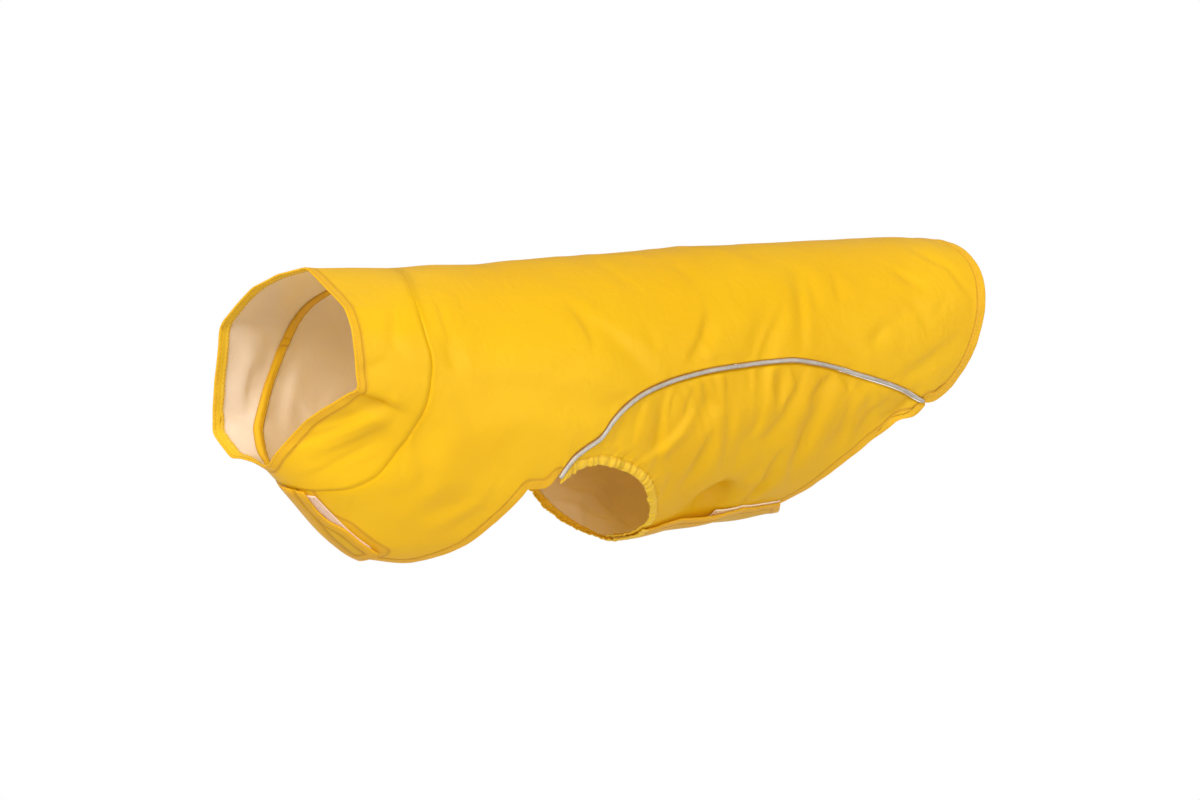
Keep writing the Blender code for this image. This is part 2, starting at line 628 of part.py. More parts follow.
def build_piping(name, finish, side):
    """A cord along the seam between the back panel and a belly panel."""
    places = along_line(PIPING_LINE, PIPING_CELLS)
    points = cloth(places[:, 0], side * places[:, 1])
    normals = cloth_normals(places[:, 0], side * places[:, 1])
    direction = unit(np.gradient(points, axis=0))
    across = unit(np.cross(normals, direction))
    normals = np.cross(direction, across)
    middle = points + normals * PIPING_PROUD
    turn = np.arange(PIPING_SIDES) * 2 * math.pi / PIPING_SIDES + math.pi / PIPING_SIDES
    radius = PIPING_DIAMETER / 2 / math.cos(math.pi / PIPING_SIDES)
    ring = (across[:, None] * np.cos(turn)[None, :, None]
            + normals[:, None] * np.sin(turn)[None, :, None]) * radius + middle[:, None]
    verts = ring.reshape(-1, 3).tolist()
    cells = grid_cells(np.arange(len(verts)).reshape(ring.shape[:2]), closed=True)
    faces = []
    for a, b, c, d in cells:
        faces += [(a, b, c), (a, c, d)]
    for row, order in ((0, 1), (len(ring) - 1, -1)):
        hub = len(verts)
        verts.append(middle[row].tolist())
        for k in range(PIPING_SIDES):
            a = row * PIPING_SIDES + k
            b = row * PIPING_SIDES + (k + 1) % PIPING_SIDES
            faces.append((hub, a, b)[::order])
    add_object(name, finish, verts, faces)


# ---- Belly panels and leg bands ------------------------------------------

def belly_edges(side):
    """The piping seam's lower side, the leg line and the hem of a belly panel."""
    seam = shifted(along_line(PIPING_LINE, PIPING_CELLS), -PIPING_ROOM, side)
    start = seam[0] * (1 - BAND_START) + seam[1] * BAND_START
    leg_rows = LEFT_LEG_LINE if side == LEFT else RIGHT_LEG_LINE
    hem_rows = LEFT_BELLY_HEM if side == LEFT else RIGHT_BELLY_HEM
    leg = along_line((tuple(start),) + leg_rows, BELLY_CELLS)
    hem = along_line((tuple(seam[-1]),) + hem_rows, BELLY_CELLS)
    return seam[1:], leg, hem


def belly_side(side):
    """Points and normals of a belly panel, in columns from the piping to the belly line."""
    seam, leg, hem = belly_edges(side)
    front = shifted(leg, LEG_BAND_WIDTH + SEAM_GAP, side)
    front[0] = seam[0]
    front[-1] = (leg[-1, 0] + LEG_BAND_WIDTH + SEAM_GAP, 1.0)
    bottom = along_line((tuple(front[-1]), tuple(hem[-1])), PIPING_CELLS - 1)
    places = patch(seam, bottom, front, hem, np.linspace(0, 1, BELLY_CELLS + 1))
    station, share = places[..., 0], side * places[..., 1]
    return cloth(station, share), cloth_normals(station, share)


def build_belly_panel(name, finish, points, normals):
    cells = grid_cells(np.arange(points[..., 0].size).reshape(points.shape[:2]))
    out = np.full(points.shape[:2], WALL / 2)
    out[-1] += HEM_EXTRA
    wall_mesh(name, finish, points.reshape(-1, 3), normals.reshape(-1, 3), cells, out.ravel())


def lapped_side(points, normals, under_points, under_normals):
    """A right panel that rises before the belly line and lies over the left one."""
    rise = np.zeros(points.shape[:2])
    rise[:, -2] = LAP_LIFT / 2
    rise[:, -1] = LAP_LIFT
    lap, lap_normals = lap_over(under_points, under_normals, range(1, BELLY_LAP_CELLS + 1))
    points = np.concatenate([points + normals * rise[..., None], lap], axis=1)
    return points, np.concatenate([normals, lap_normals], axis=1)


def leg_band_rails(side):
    """The open edge and the sewn edge of a leg band, with their normals."""
    seam, leg, _ = belly_edges(side)
    sewn = shifted(leg, LEG_BAND_WIDTH, side)
    sewn[0] = seam[0] + (leg[0] - seam[0]) * BAND_START_GAP
    sewn[-1] = (leg[-1, 0] + LEG_BAND_WIDTH, 1.0)
    rails = np.stack([leg, sewn], axis=1)
    station, share = rails[..., 0], side * rails[..., 1]
    return cloth(station, share), cloth_normals(station, share)


def build_leg_band(name, finish, rails, normals, flat_cells):
    """A gathered casing of elastic: waves along its open edge, fading over the lap."""
    cells = len(rails) - 1
    place = np.linspace(0, cells, cells * GATHER_STEPS + 1)
    k = np.minimum(place.astype(int), cells - 1)
    t = (place - k)[:, None, None]
    rails = rails[k] * (1 - t) + rails[k + 1] * t
    normals = unit(normals[k] * (1 - t) + normals[k + 1] * t)
    fade = smooth_step(cells - flat_cells - place) * smooth_step(place)
    wave = np.sin(2 * math.pi * place) * GATHER_HEIGHT * fade
    rails = rails.copy()
    rails[:, 0] += normals[:, 0] * wave[:, None]
    grid = grid_cells(np.arange(rails[..., 0].size).reshape(rails.shape[:2]))
    half = LEG_BAND_THICKNESS / 2
    wall_mesh(name, finish, rails.reshape(-1, 3), normals.reshape(-1, 3), grid, half, half)


def lapped_band(rails, normals, under_rails, under_normals):
    """The right band rises with its panel and goes on over the left one."""
    rise = np.zeros(len(rails))
    rise[-2] = LAP_LIFT / 2
    rise[-1] = LAP_LIFT
    over = slice(-2, -2 - BELLY_LAP_CELLS, -1)
    rails = np.concatenate([rails + normals * rise[:, None, None],
                            under_rails[over] + under_normals[over] * LAP_LIFT])
    return rails, np.concatenate([normals, under_normals[over]])


# ---- The whole coat ------------------------------------------------------

def main():
    for thing in list(bpy.data.objects):
        bpy.data.objects.remove(thing)
    finish = {name: make_finish(name) for name in FINISHES}
    nylon = finish["coated_nylon"]

    build_collar(nylon)
    build_neck_seam_tape(nylon)
    closure, closure_normals = build_back_panel(nylon)
    build_loop_tape("chest_loop_tape", finish["loop_tape"], closure[1:], closure_normals[1:],
                    CHEST_TAPE_SPANS)

    left, left_normals = belly_side(LEFT)
    right, right_normals = lapped_side(*belly_side(RIGHT), left, left_normals)
    build_belly_panel("belly_panel_left", nylon, left, left_normals)
    build_belly_panel("belly_panel_right", nylon, right, right_normals)
    build_loop_tape("belly_loop_tape", finish["loop_tape"], left[BELLY_TAPE_ROWS],
                    left_normals[BELLY_TAPE_ROWS], BELLY_TAPE_SPANS)

    band, band_normals = leg_band_rails(LEFT)
    build_leg_band("leg_band_left", finish["elastic_casing"], band, band_normals,
                   BELLY_LAP_CELLS)
    band, band_normals = lapped_band(*leg_band_rails(RIGHT), band, band_normals)
    build_leg_band("leg_band_right", finish["elastic_casing"], band, band_normals,
                   2 * BELLY_LAP_CELLS)

    build_piping("piping_left", finish["reflective_piping"], LEFT)
    build_piping("piping_right", finish["reflective_piping"], RIGHT)


main()
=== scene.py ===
# %% [markdown]
# # A dog's raincoat in coated nylon
# The coat is thin cloth: a back that comes round the chest, two belly panels, a
# stand collar, gathered leg openings and a grey cord in the side seams.  The
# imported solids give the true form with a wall 1.2 mm thick.  This script dresses
# them: each piece becomes a thin shell on the same form, with its creases, hems,
# stitches and finish.  Sizes are in millimetres until a mesh is made.

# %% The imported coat
import functools
import math
import bpy
import numpy as np
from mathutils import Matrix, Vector, kdtree
from mathutils.bvhtree import BVHTree

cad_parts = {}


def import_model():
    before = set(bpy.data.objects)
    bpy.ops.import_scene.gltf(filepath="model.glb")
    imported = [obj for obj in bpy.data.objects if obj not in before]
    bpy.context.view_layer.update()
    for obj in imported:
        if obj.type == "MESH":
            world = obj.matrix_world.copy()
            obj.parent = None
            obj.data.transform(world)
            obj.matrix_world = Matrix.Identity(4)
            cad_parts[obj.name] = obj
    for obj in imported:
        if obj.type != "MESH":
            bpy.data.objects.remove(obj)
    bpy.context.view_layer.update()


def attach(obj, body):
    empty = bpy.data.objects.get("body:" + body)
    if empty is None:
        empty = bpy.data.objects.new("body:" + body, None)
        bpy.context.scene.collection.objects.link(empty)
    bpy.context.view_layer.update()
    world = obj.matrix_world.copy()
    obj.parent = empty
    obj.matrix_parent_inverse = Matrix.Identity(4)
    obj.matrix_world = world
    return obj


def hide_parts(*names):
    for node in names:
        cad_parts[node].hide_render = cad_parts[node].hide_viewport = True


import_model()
MM = 0.001

# %% [markdown]
# ## The view
# A long lens from a little above the back line, 40 degrees round from the side,
# keeps the coat's proportions.  The camera is placed from the withers, which are
# the origin: a point of the picture is chosen for them and the camera moves back
# along its own axis.

# %% The camera
PICTURE = (1200, 800)
WITHERS_AT = (480, 263)        # where the withers show in the picture, in pixels
LENS = 85.0
SENSOR = 36.0
DISTANCE = 2.04                # metres, along the view axis
WITHERS_TOP = 1.2              # the cloth's outer face over the withers
AZIMUTH = math.radians(-40)
ELEVATION = math.radians(5)

back_axis = Vector((math.sin(AZIMUTH) * math.cos(ELEVATION),
                    -math.cos(AZIMUTH) * math.cos(ELEVATION), math.sin(ELEVATION)))
right_axis = (-back_axis).cross(Vector((0, 0, 1))).normalized()
up_axis = right_axis.cross(-back_axis)
pixel = DISTANCE * SENSOR / LENS / PICTURE[0]
camera = bpy.data.objects.new("camera", bpy.data.cameras.new("camera"))
bpy.context.collection.objects.link(camera)
camera.data.lens = LENS
camera.data.sensor_width = SENSOR
camera.location = (Vector((0, 0, WITHERS_TOP * MM)) + back_axis * DISTANCE
                   + right_axis * (PICTURE[0] / 2 - WITHERS_AT[0]) * pixel
                   - up_axis * (PICTURE[1] / 2 - WITHERS_AT[1]) * pixel)
camera.rotation_mode = "QUATERNION"
camera.rotation_quaternion = (-back_axis).to_track_quat("-Z", "Y")
bpy.context.scene.camera = camera
print("one pixel is", round(pixel / MM, 2), "mm at the withers")

# %% [markdown]
# ## The studio
# The coat hangs well above the floor, so its own shadow falls out of the picture.
# Bright glossy cloth needs one wide soft lamp with a direction, so that its
# creases catch it, two weaker ones from the side and the front, and an even pale
# surround that fills the shadows.  A sun lamp with a wide angle is a softbox that
# lights floor and coat alike.  The camera sees the surround as white, like a clean
# paper sweep.

# %% The floor
FLOOR_Z = -0.9                 # the floor's sizes are in metres
FLOOR_SIDE = 12.0
PAPER = (0.80, 0.80, 0.80, 1)
half = FLOOR_SIDE / 2
floor_mesh = bpy.data.meshes.new("floor")
floor_mesh.from_pydata([(-half, -half, FLOOR_Z), (half, -half, FLOOR_Z), (half, half, FLOOR_Z),
                        (-half, half, FLOOR_Z)], [], [(0, 1, 2, 3)])
floor = bpy.data.objects.new("floor", floor_mesh)
bpy.context.collection.objects.link(floor)

paper = bpy.data.materials.new("white_paper")
paper.use_nodes = True
paper_shader = paper.node_tree.nodes["Principled BSDF"]
paper_shader.inputs["Base Color"].default_value = PAPER
paper_shader.inputs["Roughness"].default_value = 1.0
paper_shader.inputs["Specular IOR Level"].default_value = 0.0
floor_mesh.materials.append(paper)


def white_to_camera(tree, shader, output):
    """The camera sees plain white; every other ray meets the shader."""
    rays = tree.nodes.new("ShaderNodeLightPath")
    plain = tree.nodes.new("ShaderNodeEmission")
    either = tree.nodes.new("ShaderNodeMixShader")
    tree.links.new(rays.outputs["Is Camera Ray"], either.inputs[0])
    tree.links.new(shader.outputs[0], either.inputs[1])
    tree.links.new(plain.outputs[0], either.inputs[2])
    tree.links.new(either.outputs[0], output.inputs["Surface"])
    return either


paper_output = paper.node_tree.nodes["Material Output"]
paper_seen = white_to_camera(paper.node_tree, paper_shader, paper_output)
# Seen from below the paper is clear, so a low camera still sees the coat.
under = paper.node_tree.nodes.new("ShaderNodeNewGeometry")
clear = paper.node_tree.nodes.new("ShaderNodeBsdfTransparent")
one_sided = paper.node_tree.nodes.new("ShaderNodeMixShader")
paper.node_tree.links.new(under.outputs["Backfacing"], one_sided.inputs[0])
paper.node_tree.links.new(paper_seen.outputs[0], one_sided.inputs[1])
paper.node_tree.links.new(clear.outputs[0], one_sided.inputs[2])
paper.node_tree.links.new(one_sided.outputs[0], paper_output.inputs["Surface"])

print("floor of", FLOOR_SIDE, "m")

# %% Surround and lamps
SURROUND = 0.38
LAMP_AWAY = 2.0                # metres; a sun lamp shines alike from anywhere
LAMPS = (
    # name, azimuth, elevation, strength, angle
    ("key", -62, 37, 3.0, 30),
    ("fill", 10, 6, 1.35, 60),
    ("front", -88, 8, 0.4, 60),
)

world = bpy.data.worlds.new("studio")
world.use_nodes = True
air = world.node_tree
lit = air.nodes["Background"]
lit.inputs["Color"].default_value = (1, 1, 1, 1)
lit.inputs["Strength"].default_value = SURROUND
white_to_camera(air, lit, air.nodes["World Output"])
bpy.context.scene.world = world
bpy.context.scene.view_settings.view_transform = "Standard"


def lamp(name, azimuth, elevation, strength, angle):
    """A soft sun lamp; azimuth 0 shines along +Y and 90 along -X, in degrees."""
    turn, rise = math.radians(azimuth), math.radians(elevation)
    towards = Vector((math.sin(turn) * math.cos(rise), -math.cos(turn) * math.cos(rise),
                      math.sin(rise)))
    light = bpy.data.lights.new(name, "SUN")
    light.energy = strength
    light.angle = math.radians(angle)
    thing = bpy.data.objects.new(name, light)
    thing.rotation_mode = "QUATERNION"
    thing.rotation_quaternion = (-towards).to_track_quat("-Z", "Y")
    thing.location = towards * LAMP_AWAY
    bpy.context.collection.objects.link(thing)


for row in LAMPS:
    lamp(*row)
print(len(LAMPS), "lamps")

# %% [markdown]
# ## The form of the cloth
# The coat is one smooth surface through a fan of cross sections.  A place on it
# has a station, the X where its section meets the back line, and a share, how far
# round the half girth it lies: 0 on the back line, 1 on the belly line, below 0
# on the dog's left.  The sections are those of the solids, and so are the lines,
# apart from a few corners and the collar's near edge, which thin cloth rounds.

# %% The sections and lines of the cut
WALL = 1.2                     # of the solids
LAYER_GAP = 0.35
TAPE_THICKNESS = 1.0
LAP_LIFT = WALL + 2 * LAYER_GAP + TAPE_THICKNESS
PIPING_DIAMETER = 3.4
PIPING_PROUD = 0.8
SEAM_GAP = 0.3
PIPING_ROOM = PIPING_DIAMETER / 2 + SEAM_GAP
LEG_BAND_WIDTH = 7.0

SECTION_COLUMNS = ("station", "top_z", "bottom_x", "bottom_z", "half_width",
                   "widest", "top_power", "bottom_power")
SECTIONS = (
    (-115, 0.5, -210, -115, 75, 0.42, 2.0, 2.0),
    (-80, -1.2, -177, -140, 77, 0.42, 2.0, 1.9),
    (-69, -0.8, -166.5, -148.8, 78, 0.42, 2.0, 1.9),
    (-45, 0.3, -131, -185.5, 80, 0.42, 2.0, 1.8),
    (-25, 0.2, -103, -203.5, 81, 0.42, 2.0, 1.8),
    (0, 0, -62, -211, 82, 0.43, 2.0, 1.9),
    (35, 1.5, 5, -213, 82, 0.43, 2.0, 2.0),
    (75, 3.3, 70, -211, 81, 0.44, 2.0, 2.0),
    (118, 4.8, 118, -207, 80, 0.45, 2.0, 2.0),
    (200, 8, 200, -202, 79, 0.45, 2.0, 2.0),
    (292, 9.5, 292, -199, 77, 0.45, 2.0, 2.0),
    (380, 11, 380, -188, 74, 0.42, 2.1, 2.0),
    (440, 10.5, 440, -170, 71, 0.38, 2.3, 2.0),
    (475, 8, 475, -160, 69, 0.36, 2.4, 2.0),
)
print(len(SECTIONS), "sections")

# %% The seam lines and hems
# Each line is a row of places: (station, share).
LEFT_COLLAR_SEAM = ((-78, 0.0), (-83, 0.09), (-88, 0.22), (-85, 0.29), (-75, 0.375),
                    (-65, 0.43), (-59, 0.49), (-56, 0.54), (-55, 0.60), (-55, 0.74),
                    (-58, 0.82), (-64, 0.90), (-70, 1.0))
RIGHT_COLLAR_SEAM = ((-78, 0.0), (-81, 0.10), (-83, 0.24), (-85, 0.32), (-81, 0.42),
                     (-78, 0.52), (-75, 0.67), (-74, 0.75), (-71, 0.84), (-70, 1.0))
CHEST_HEM = ((-29, 1.0), (-20, 0.967), (-10, 0.945), (-2, 0.90), (6, 0.845), (12, 0.77),
             (16, 0.722), (19.5, 0.68))
LEG_EDGE = ((19.5, 0.68), (28, 0.682))         # and on to the piping's first place
PIPING_LINE = ((35.5, 0.657), (38.3, 0.628), (41.3, 0.609), (46, 0.593), (57, 0.563),
               (63, 0.53), (76, 0.49), (107, 0.456), (141, 0.441), (192, 0.436),
               (230, 0.435), (262, 0.449), (311, 0.496), (359, 0.558), (395, 0.63))
BACK_HEM = ((395, 0.63), (404, 0.634), (413, 0.628), (422, 0.618), (430.5, 0.598),
            (437, 0.575), (445, 0.533), (455, 0.44), (460, 0.365), (464, 0.29),
            (465, 0.175), (464, 0.085), (463, 0.0))
CASING_START = (37.2, 0.672)
LEFT_LEG_LINE = ((41.5, 0.659), (46, 0.642), (57, 0.636), (69, 0.648), (85, 0.675),
                 (103, 0.722), (114, 0.775), (121, 0.82), (126, 0.87), (125, 0.93),
                 (119, 1.0))
RIGHT_LEG_LINE = ((41.5, 0.659), (46.5, 0.643), (58, 0.65), (76, 0.695), (91, 0.76),
                  (97, 0.825), (103, 0.875), (109, 0.935), (119, 1.0))
LEFT_BELLY_HEM = ((384, 0.652), (366, 0.656), (351, 0.676), (337, 0.70), (324, 0.73),
                  (311, 0.76), (300, 0.793), (291, 0.825), (280, 0.86), (270, 0.90),
                  (266, 0.95), (265, 1.0))
RIGHT_BELLY_HEM = ((384, 0.652), (366, 0.656), (351, 0.676), (337, 0.70), (324, 0.73),
                   (312, 0.76), (301, 0.80), (287, 0.87), (265, 1.0))
LEFT, RIGHT = -1, 1
print(len(PIPING_LINE), "places along the cord,", len(BACK_HEM), "along the tail hem")

# %% The collar's free edge
COLLAR_COLUMNS = ("share", "x", "y", "z")
COLLAR_EDGE = (
    (-1.00, -183, 0, -133),
    (-0.95, -184, -9, -124.5),
    (-0.88, -182, -21.5, -114),
    (-0.78, -178, -39, -99),
    (-0.70, -172.5, -53, -90),
    (-0.57, -161, -76, -77),
    (-0.43, -164, -75.5, -45),
    (-0.35, -163.5, -71, -26),
    (0.00, -151, 0, 2.5),
    (0.13, -158, 29, -5),
    (0.22, -163, 46, -13),
    (0.30, -168, 61, -25),
    (0.37, -174, 73, -40),
    (0.51, -177, 76, -81),
    (0.66, -180, 75, -116),
    (0.79, -180, 51, -132),
    (1.00, -183, 0, -133),
)
print(len(COLLAR_EDGE), "places round the collar's edge")

# %% [markdown]
# ## Creases
# A crease is a soft trough, or a ridge where its depth is above 0.  Each row says
# where its middle lies in the side view, how long and wide it is and how it leans
# above the X axis.  The first table holds the largest folds, most of them as the
# solids have them.  The second holds finer drags, puckers and pinches, as uneven
# as limp coated cloth has them, with others of the same kind on the far side.

# %% The table of creases
CREASES = (
    # side, x, z, length, width, depth, lean
    # Soft drags and creases over the back.
    (LEFT, 38, -44, 46, 7, -1.0, -78),
    (LEFT, 78, -57, 125, 9, -1.6, -40),
    (LEFT, 145, -54, 65, 7, -1.8, 50),
    (LEFT, 204, -52, 80, 7, -1.4, 50),
    (LEFT, 214, -55, 80, 7, -1.8, 50),
    (LEFT, 253, -37, 80, 7, -1.6, 70),
    (LEFT, 272, -25, 40, 8, -0.9, 85),
    (LEFT, 330, -58, 30, 7, -0.8, 35),
    (LEFT, 383, -16, 36, 5, -1.5, -28),
    (LEFT, 386, -80, 112, 8, -1.1, 24),
    (LEFT, 439, -33, 50, 7, -0.5, -80),
    (LEFT, -4, -78, 175, 14, -1.6, -10),
    (RIGHT, 22, -45, 90, 9, -1.4, 65),
    (RIGHT, 70, -60, 110, 9, -1.5, -30),
    (RIGHT, 160, -50, 75, 8, -1.7, 60),
    (RIGHT, 222, -44, 80, 8, -1.6, 75),
    (RIGHT, 296, -52, 70, 9, -1.4, 35),
    (RIGHT, 402, -72, 140, 10, -2.0, 25),
    (RIGHT, 436, -40, 60, 8, -1.2, -80),
    (RIGHT, -20, -90, 150, 14, -1.5, -15),
    # The chest, below the collar seam and beside the leg openings.
    (LEFT, -109, -126, 70, 9, -1.6, -75),
    (LEFT, -90, -60, 30, 8, -1.0, -70),
    (LEFT, -46, -129, 80, 18, -2.0, -30),
    (LEFT, -74, -158, 56, 11, -1.7, 14),
    (LEFT, -58, -171, 60, 10, -1.3, 40),
    (RIGHT, -100, -118, 70, 9, -1.5, -70),
    (RIGHT, -40, -130, 85, 18, -2.0, -25),
    # Gathers that run down from the piping on the belly panels.
    (LEFT, 102, -120, 80, 6, -2.0, 90),
    (LEFT, 78, -113, 40, 6, -1.3, 75),
    (LEFT, 62, -117, 35, 6, -1.2, 70),
    (LEFT, 119, -133, 70, 6, 2.0, 40),
    (LEFT, 146, -144, 55, 7, -1.8, 70),
    (LEFT, 154, -175, 60, 7, -1.0, -45),
    (LEFT, 168, -131, 80, 7, -1.6, -80),
    (LEFT, 155, -99, 35, 7, -1.4, -45),
    (LEFT, 217, -95, 35, 6, -1.4, -80),
    (LEFT, 228, -112, 80, 7, -1.6, 50),
    (LEFT, 251, -135, 85, 7, -2.2, 85),
    (LEFT, 265, -96, 45, 7, -1.6, 45),
    (LEFT, 293, -97, 30, 6, -1.2, -50),
    (LEFT, 324, -102, 40, 6, -1.2, -35),
    (LEFT, 226, -165, 60, 8, -2.0, 70),
    (LEFT, 181, -172, 34, 9, -1.8, 52),
    (LEFT, 298, -137, 35, 10, -1.0, 85),
    (LEFT, 362, -119, 50, 9, -3.2, 8),
    (LEFT, 324, -124, 50, 6, -1.4, 55),
    (RIGHT, 96, -122, 75, 6, -1.9, 85),
    (RIGHT, 74, -115, 45, 6, -1.4, 70),
    (RIGHT, 122, -112, 50, 6, -1.5, -80),
    (RIGHT, 140, -140, 65, 7, 1.8, 45),
    (RIGHT, 172, -128, 75, 7, -1.7, -85),
    (RIGHT, 205, -104, 45, 6, -1.4, 80),
    (RIGHT, 236, -126, 85, 7, -2.0, 65),
    (RIGHT, 262, -140, 70, 7, -1.8, 80),
    (RIGHT, 284, -98, 35, 6, -1.3, -60),
    (RIGHT, 318, -104, 40, 6, -1.2, -40),
    (RIGHT, 214, -168, 60, 8, -1.8, 60),
    # The collar bends in from its lower corners to the seam.
    (LEFT, -140, -86, 66, 5, -3.4, -19),
    (LEFT, -152, -104, 60, 7, 2.0, 25),
    (LEFT, -136, -126, 50, 7, -1.4, 30),
    (LEFT, -132, -34, 35, 9, -1.0, 60),
    (LEFT, -158, -98, 70, 6, -1.6, 35),
    (LEFT, -146, -112, 66, 6, 1.5, 33),
    (LEFT, -150, -122, 60, 5, -1.3, 38),
    (RIGHT, -148, -64, 60, 12, -1.8, 75),
    (RIGHT, -128, -22, 60, 8, -2.0, -35),
    (RIGHT, -142, -46, 55, 7, 1.6, -28),
    (RIGHT, -160, -88, 60, 8, -1.6, 78),
    (RIGHT, -118, -92, 60, 8, -1.6, 66),
    (RIGHT, -162, -108, 45, 8, 1.5, -30),
)
print(len(CREASES), "large creases")

# %% The table of fine creases
FINE_CREASES = (
    # side, x, z, length, width, depth, lean
    # Short drags and puckers of the belly panels.
    (LEFT, 48, -124, 20, 4, -0.7, 75),
    (LEFT, 112, -103, 30, 4, -0.9, 80),
    (LEFT, 143, -110, 30, 9, -0.9, -85),
    (LEFT, 223, -94, 25, 4, -0.8, -75),
    (LEFT, 266, -139, 25, 5, -0.7, -85),
    (LEFT, 227, -173, 25, 5, -0.9, 80),
    (LEFT, 166, -89, 25, 4, -0.6, -75),
    (LEFT, 191, -87, 20, 4, -0.6, -85),
    (LEFT, 238, -90, 30, 4, 0.7, -70),
    (LEFT, 265, -89, 20, 4, -0.6, -60),
    (LEFT, 343, -108, 25, 4, -0.6, -40),
    (LEFT, 88, -107, 30, 4, 0.6, 65),
    (LEFT, 129, -100, 30, 4, -0.7, 70),
    (LEFT, 184, -145, 35, 6, -0.8, -85),
    (LEFT, 195, -123, 35, 6, -0.6, 70),
    (LEFT, 231, -117, 35, 5, 0.8, 70),
    (LEFT, 260, -121, 55, 5, 0.7, 65),
    (LEFT, 296, -118, 25, 6, -0.7, 65),
    (LEFT, 319, -115, 30, 6, -0.6, 60),
    (LEFT, 124, -164, 35, 5, -0.8, -85),
    (LEFT, 185, -178, 45, 5, -0.8, 5),
    (LEFT, 224, -171, 35, 5, 0.8, 5),
    # Faint pinches and drags of the back.
    (LEFT, 169, -69, 105, 5, -0.5, 5),
    (LEFT, 95, -55, 25, 6, -0.6, -60),
    (LEFT, 26, -96, 60, 8, -0.6, -20),
    (LEFT, -2, -30, 70, 9, -0.6, -20),
    (LEFT, -88, -33, 40, 5, -0.6, 85),
    (LEFT, -85, -71, 45, 6, -0.5, -15),
    (LEFT, 93, -16, 40, 9, -0.6, -50),
    (LEFT, 154, -11, 40, 9, -0.5, -50),
    (LEFT, 190, -26, 30, 6, -0.5, 80),
    (LEFT, 299, -23, 30, 5, -0.7, 70),
    (LEFT, 327, -34, 50, 7, -0.5, -5),
    (LEFT, 378, -47, 45, 7, -0.7, -55),
    (LEFT, 431, -22, 34, 4, -0.9, -62),
    (LEFT, 376, -86, 70, 6, -0.4, -35),
    (LEFT, 418, -4, 34, 4, -1.0, -35),
    (LEFT, 352, -48, 110, 6, -0.6, 22),
    (LEFT, 404, -40, 40, 5, -0.5, 35),
    (LEFT, 304, -65, 45, 6, -0.6, -25),
    (LEFT, 152, -58, 25, 5, 0.6, -60),
    (LEFT, 63, -92, 60, 6, -0.5, 10),
    (LEFT, -9, -113, 65, 9, -0.6, -25),
    (LEFT, -78, -99, 40, 8, -0.7, -50),
    (LEFT, -72, -167, 60, 9, -0.9, -25),
    (LEFT, -110, -146, 50, 10, -0.7, 35),
    (LEFT, -119, -132, 35, 6, -0.8, -70),
    (LEFT, 10, -69, 55, 8, -0.5, 10),
    (LEFT, -150, -58, 40, 7, -0.7, 20),
    (LEFT, -120, -58, 55, 7, -0.8, -45),
    # Drags on the far belly panel, which show through the near leg opening.
    (RIGHT, 138, -182, 60, 8, -2.0, -38),
    (RIGHT, 152, -174, 50, 8, -1.5, -46),
    (RIGHT, 126, -189, 44, 6, -1.4, -30),
    (RIGHT, 132, -196, 50, 6, -1.2, -22),
    (RIGHT, 160, -190, 60, 9, 1.8, -50),
)
print(len(FINE_CREASES), "fine creases")

# %% All the creases
BACK_CREASE_GAIN = 1.25        # thin cloth creases a little deeper than a thick wall
BELLY_CREASE_GAIN = 1.22
BELLY_BELOW = -92              # creases below this Z are the belly's and the chest's
FAR_MOVES = np.array((14, 7))  # how far a far crease is moved at most, along X and Z
FAR_SIZES = (0.8, 1.25)
FAR_TURN = 20


def far_side(rows, seed):
    """Creases of the same kind for the other side, each moved, turned and resized a little."""
    draw = np.random.default_rng(seed)
    rows = np.array(rows, float)
    count = len(rows)
    rows[:, 0] = RIGHT
    rows[:, 1:3] += draw.uniform(-FAR_MOVES, FAR_MOVES, (count, 2))
    rows[:, 3:5] *= draw.uniform(*FAR_SIZES, (count, 2))
    rows[:, 6] = -rows[:, 6] + draw.uniform(-FAR_TURN, FAR_TURN, count)
    return rows


ALL_CREASES = np.concatenate([np.array(CREASES, float), np.array(FINE_CREASES, float),
                              far_side(FINE_CREASES, 5)])
ALL_CREASES[:, 5] *= np.where(ALL_CREASES[:, 2] < BELLY_BELOW, BELLY_CREASE_GAIN,
                              BACK_CREASE_GAIN)
print(len(ALL_CREASES), "creases")

# %% [markdown]
# ## From tables to a surface
# The curves through the tables are cubic but never overshoot, as a fair seam
# drawn by hand would.  Round a section, a share is measured along the girth, so
# cloth is not stretched when a panel is laid out on it.

# %% Fair curves
def smooth_column(x, xs, ys):
    """A cubic curve through the table's values that does not overshoot them."""
    step = np.diff(xs)
    slope = np.diff(ys) / step
    tangent = np.empty(len(xs))
    tangent[0], tangent[-1] = slope[0], slope[-1]
    mean = (step[1:] * slope[:-1] + step[:-1] * slope[1:]) / (step[1:] + step[:-1])
    tangent[1:-1] = np.where(slope[:-1] * slope[1:] <= 0, 0.0, mean)
    k = np.clip(np.searchsorted(xs, x) - 1, 0, len(step) - 1)
    t = (x - xs[k]) / step[k]
    return ((1 + 2 * t) * (1 - t) ** 2 * ys[k] + t * (1 - t) ** 2 * step[k] * tangent[k]
            + t * t * (3 - 2 * t) * ys[k + 1] + t * t * (t - 1) * step[k] * tangent[k + 1])


def smooth_step(x):
    t = np.clip(x, 0.0, 1.0)
    return t * t * (3 - 2 * t)


def unit(vectors):
    return vectors / np.maximum(np.linalg.norm(vectors, axis=-1, keepdims=True), 1e-9)


print("halfway up a step:", smooth_step(0.5))

# %% Round a section
SECTION = dict(zip(SECTION_COLUMNS, np.array(SECTIONS, float).T))
SECTION_STEPS = 72


def section_value(name, station):
    return smooth_column(station, SECTION["station"], SECTION[name])


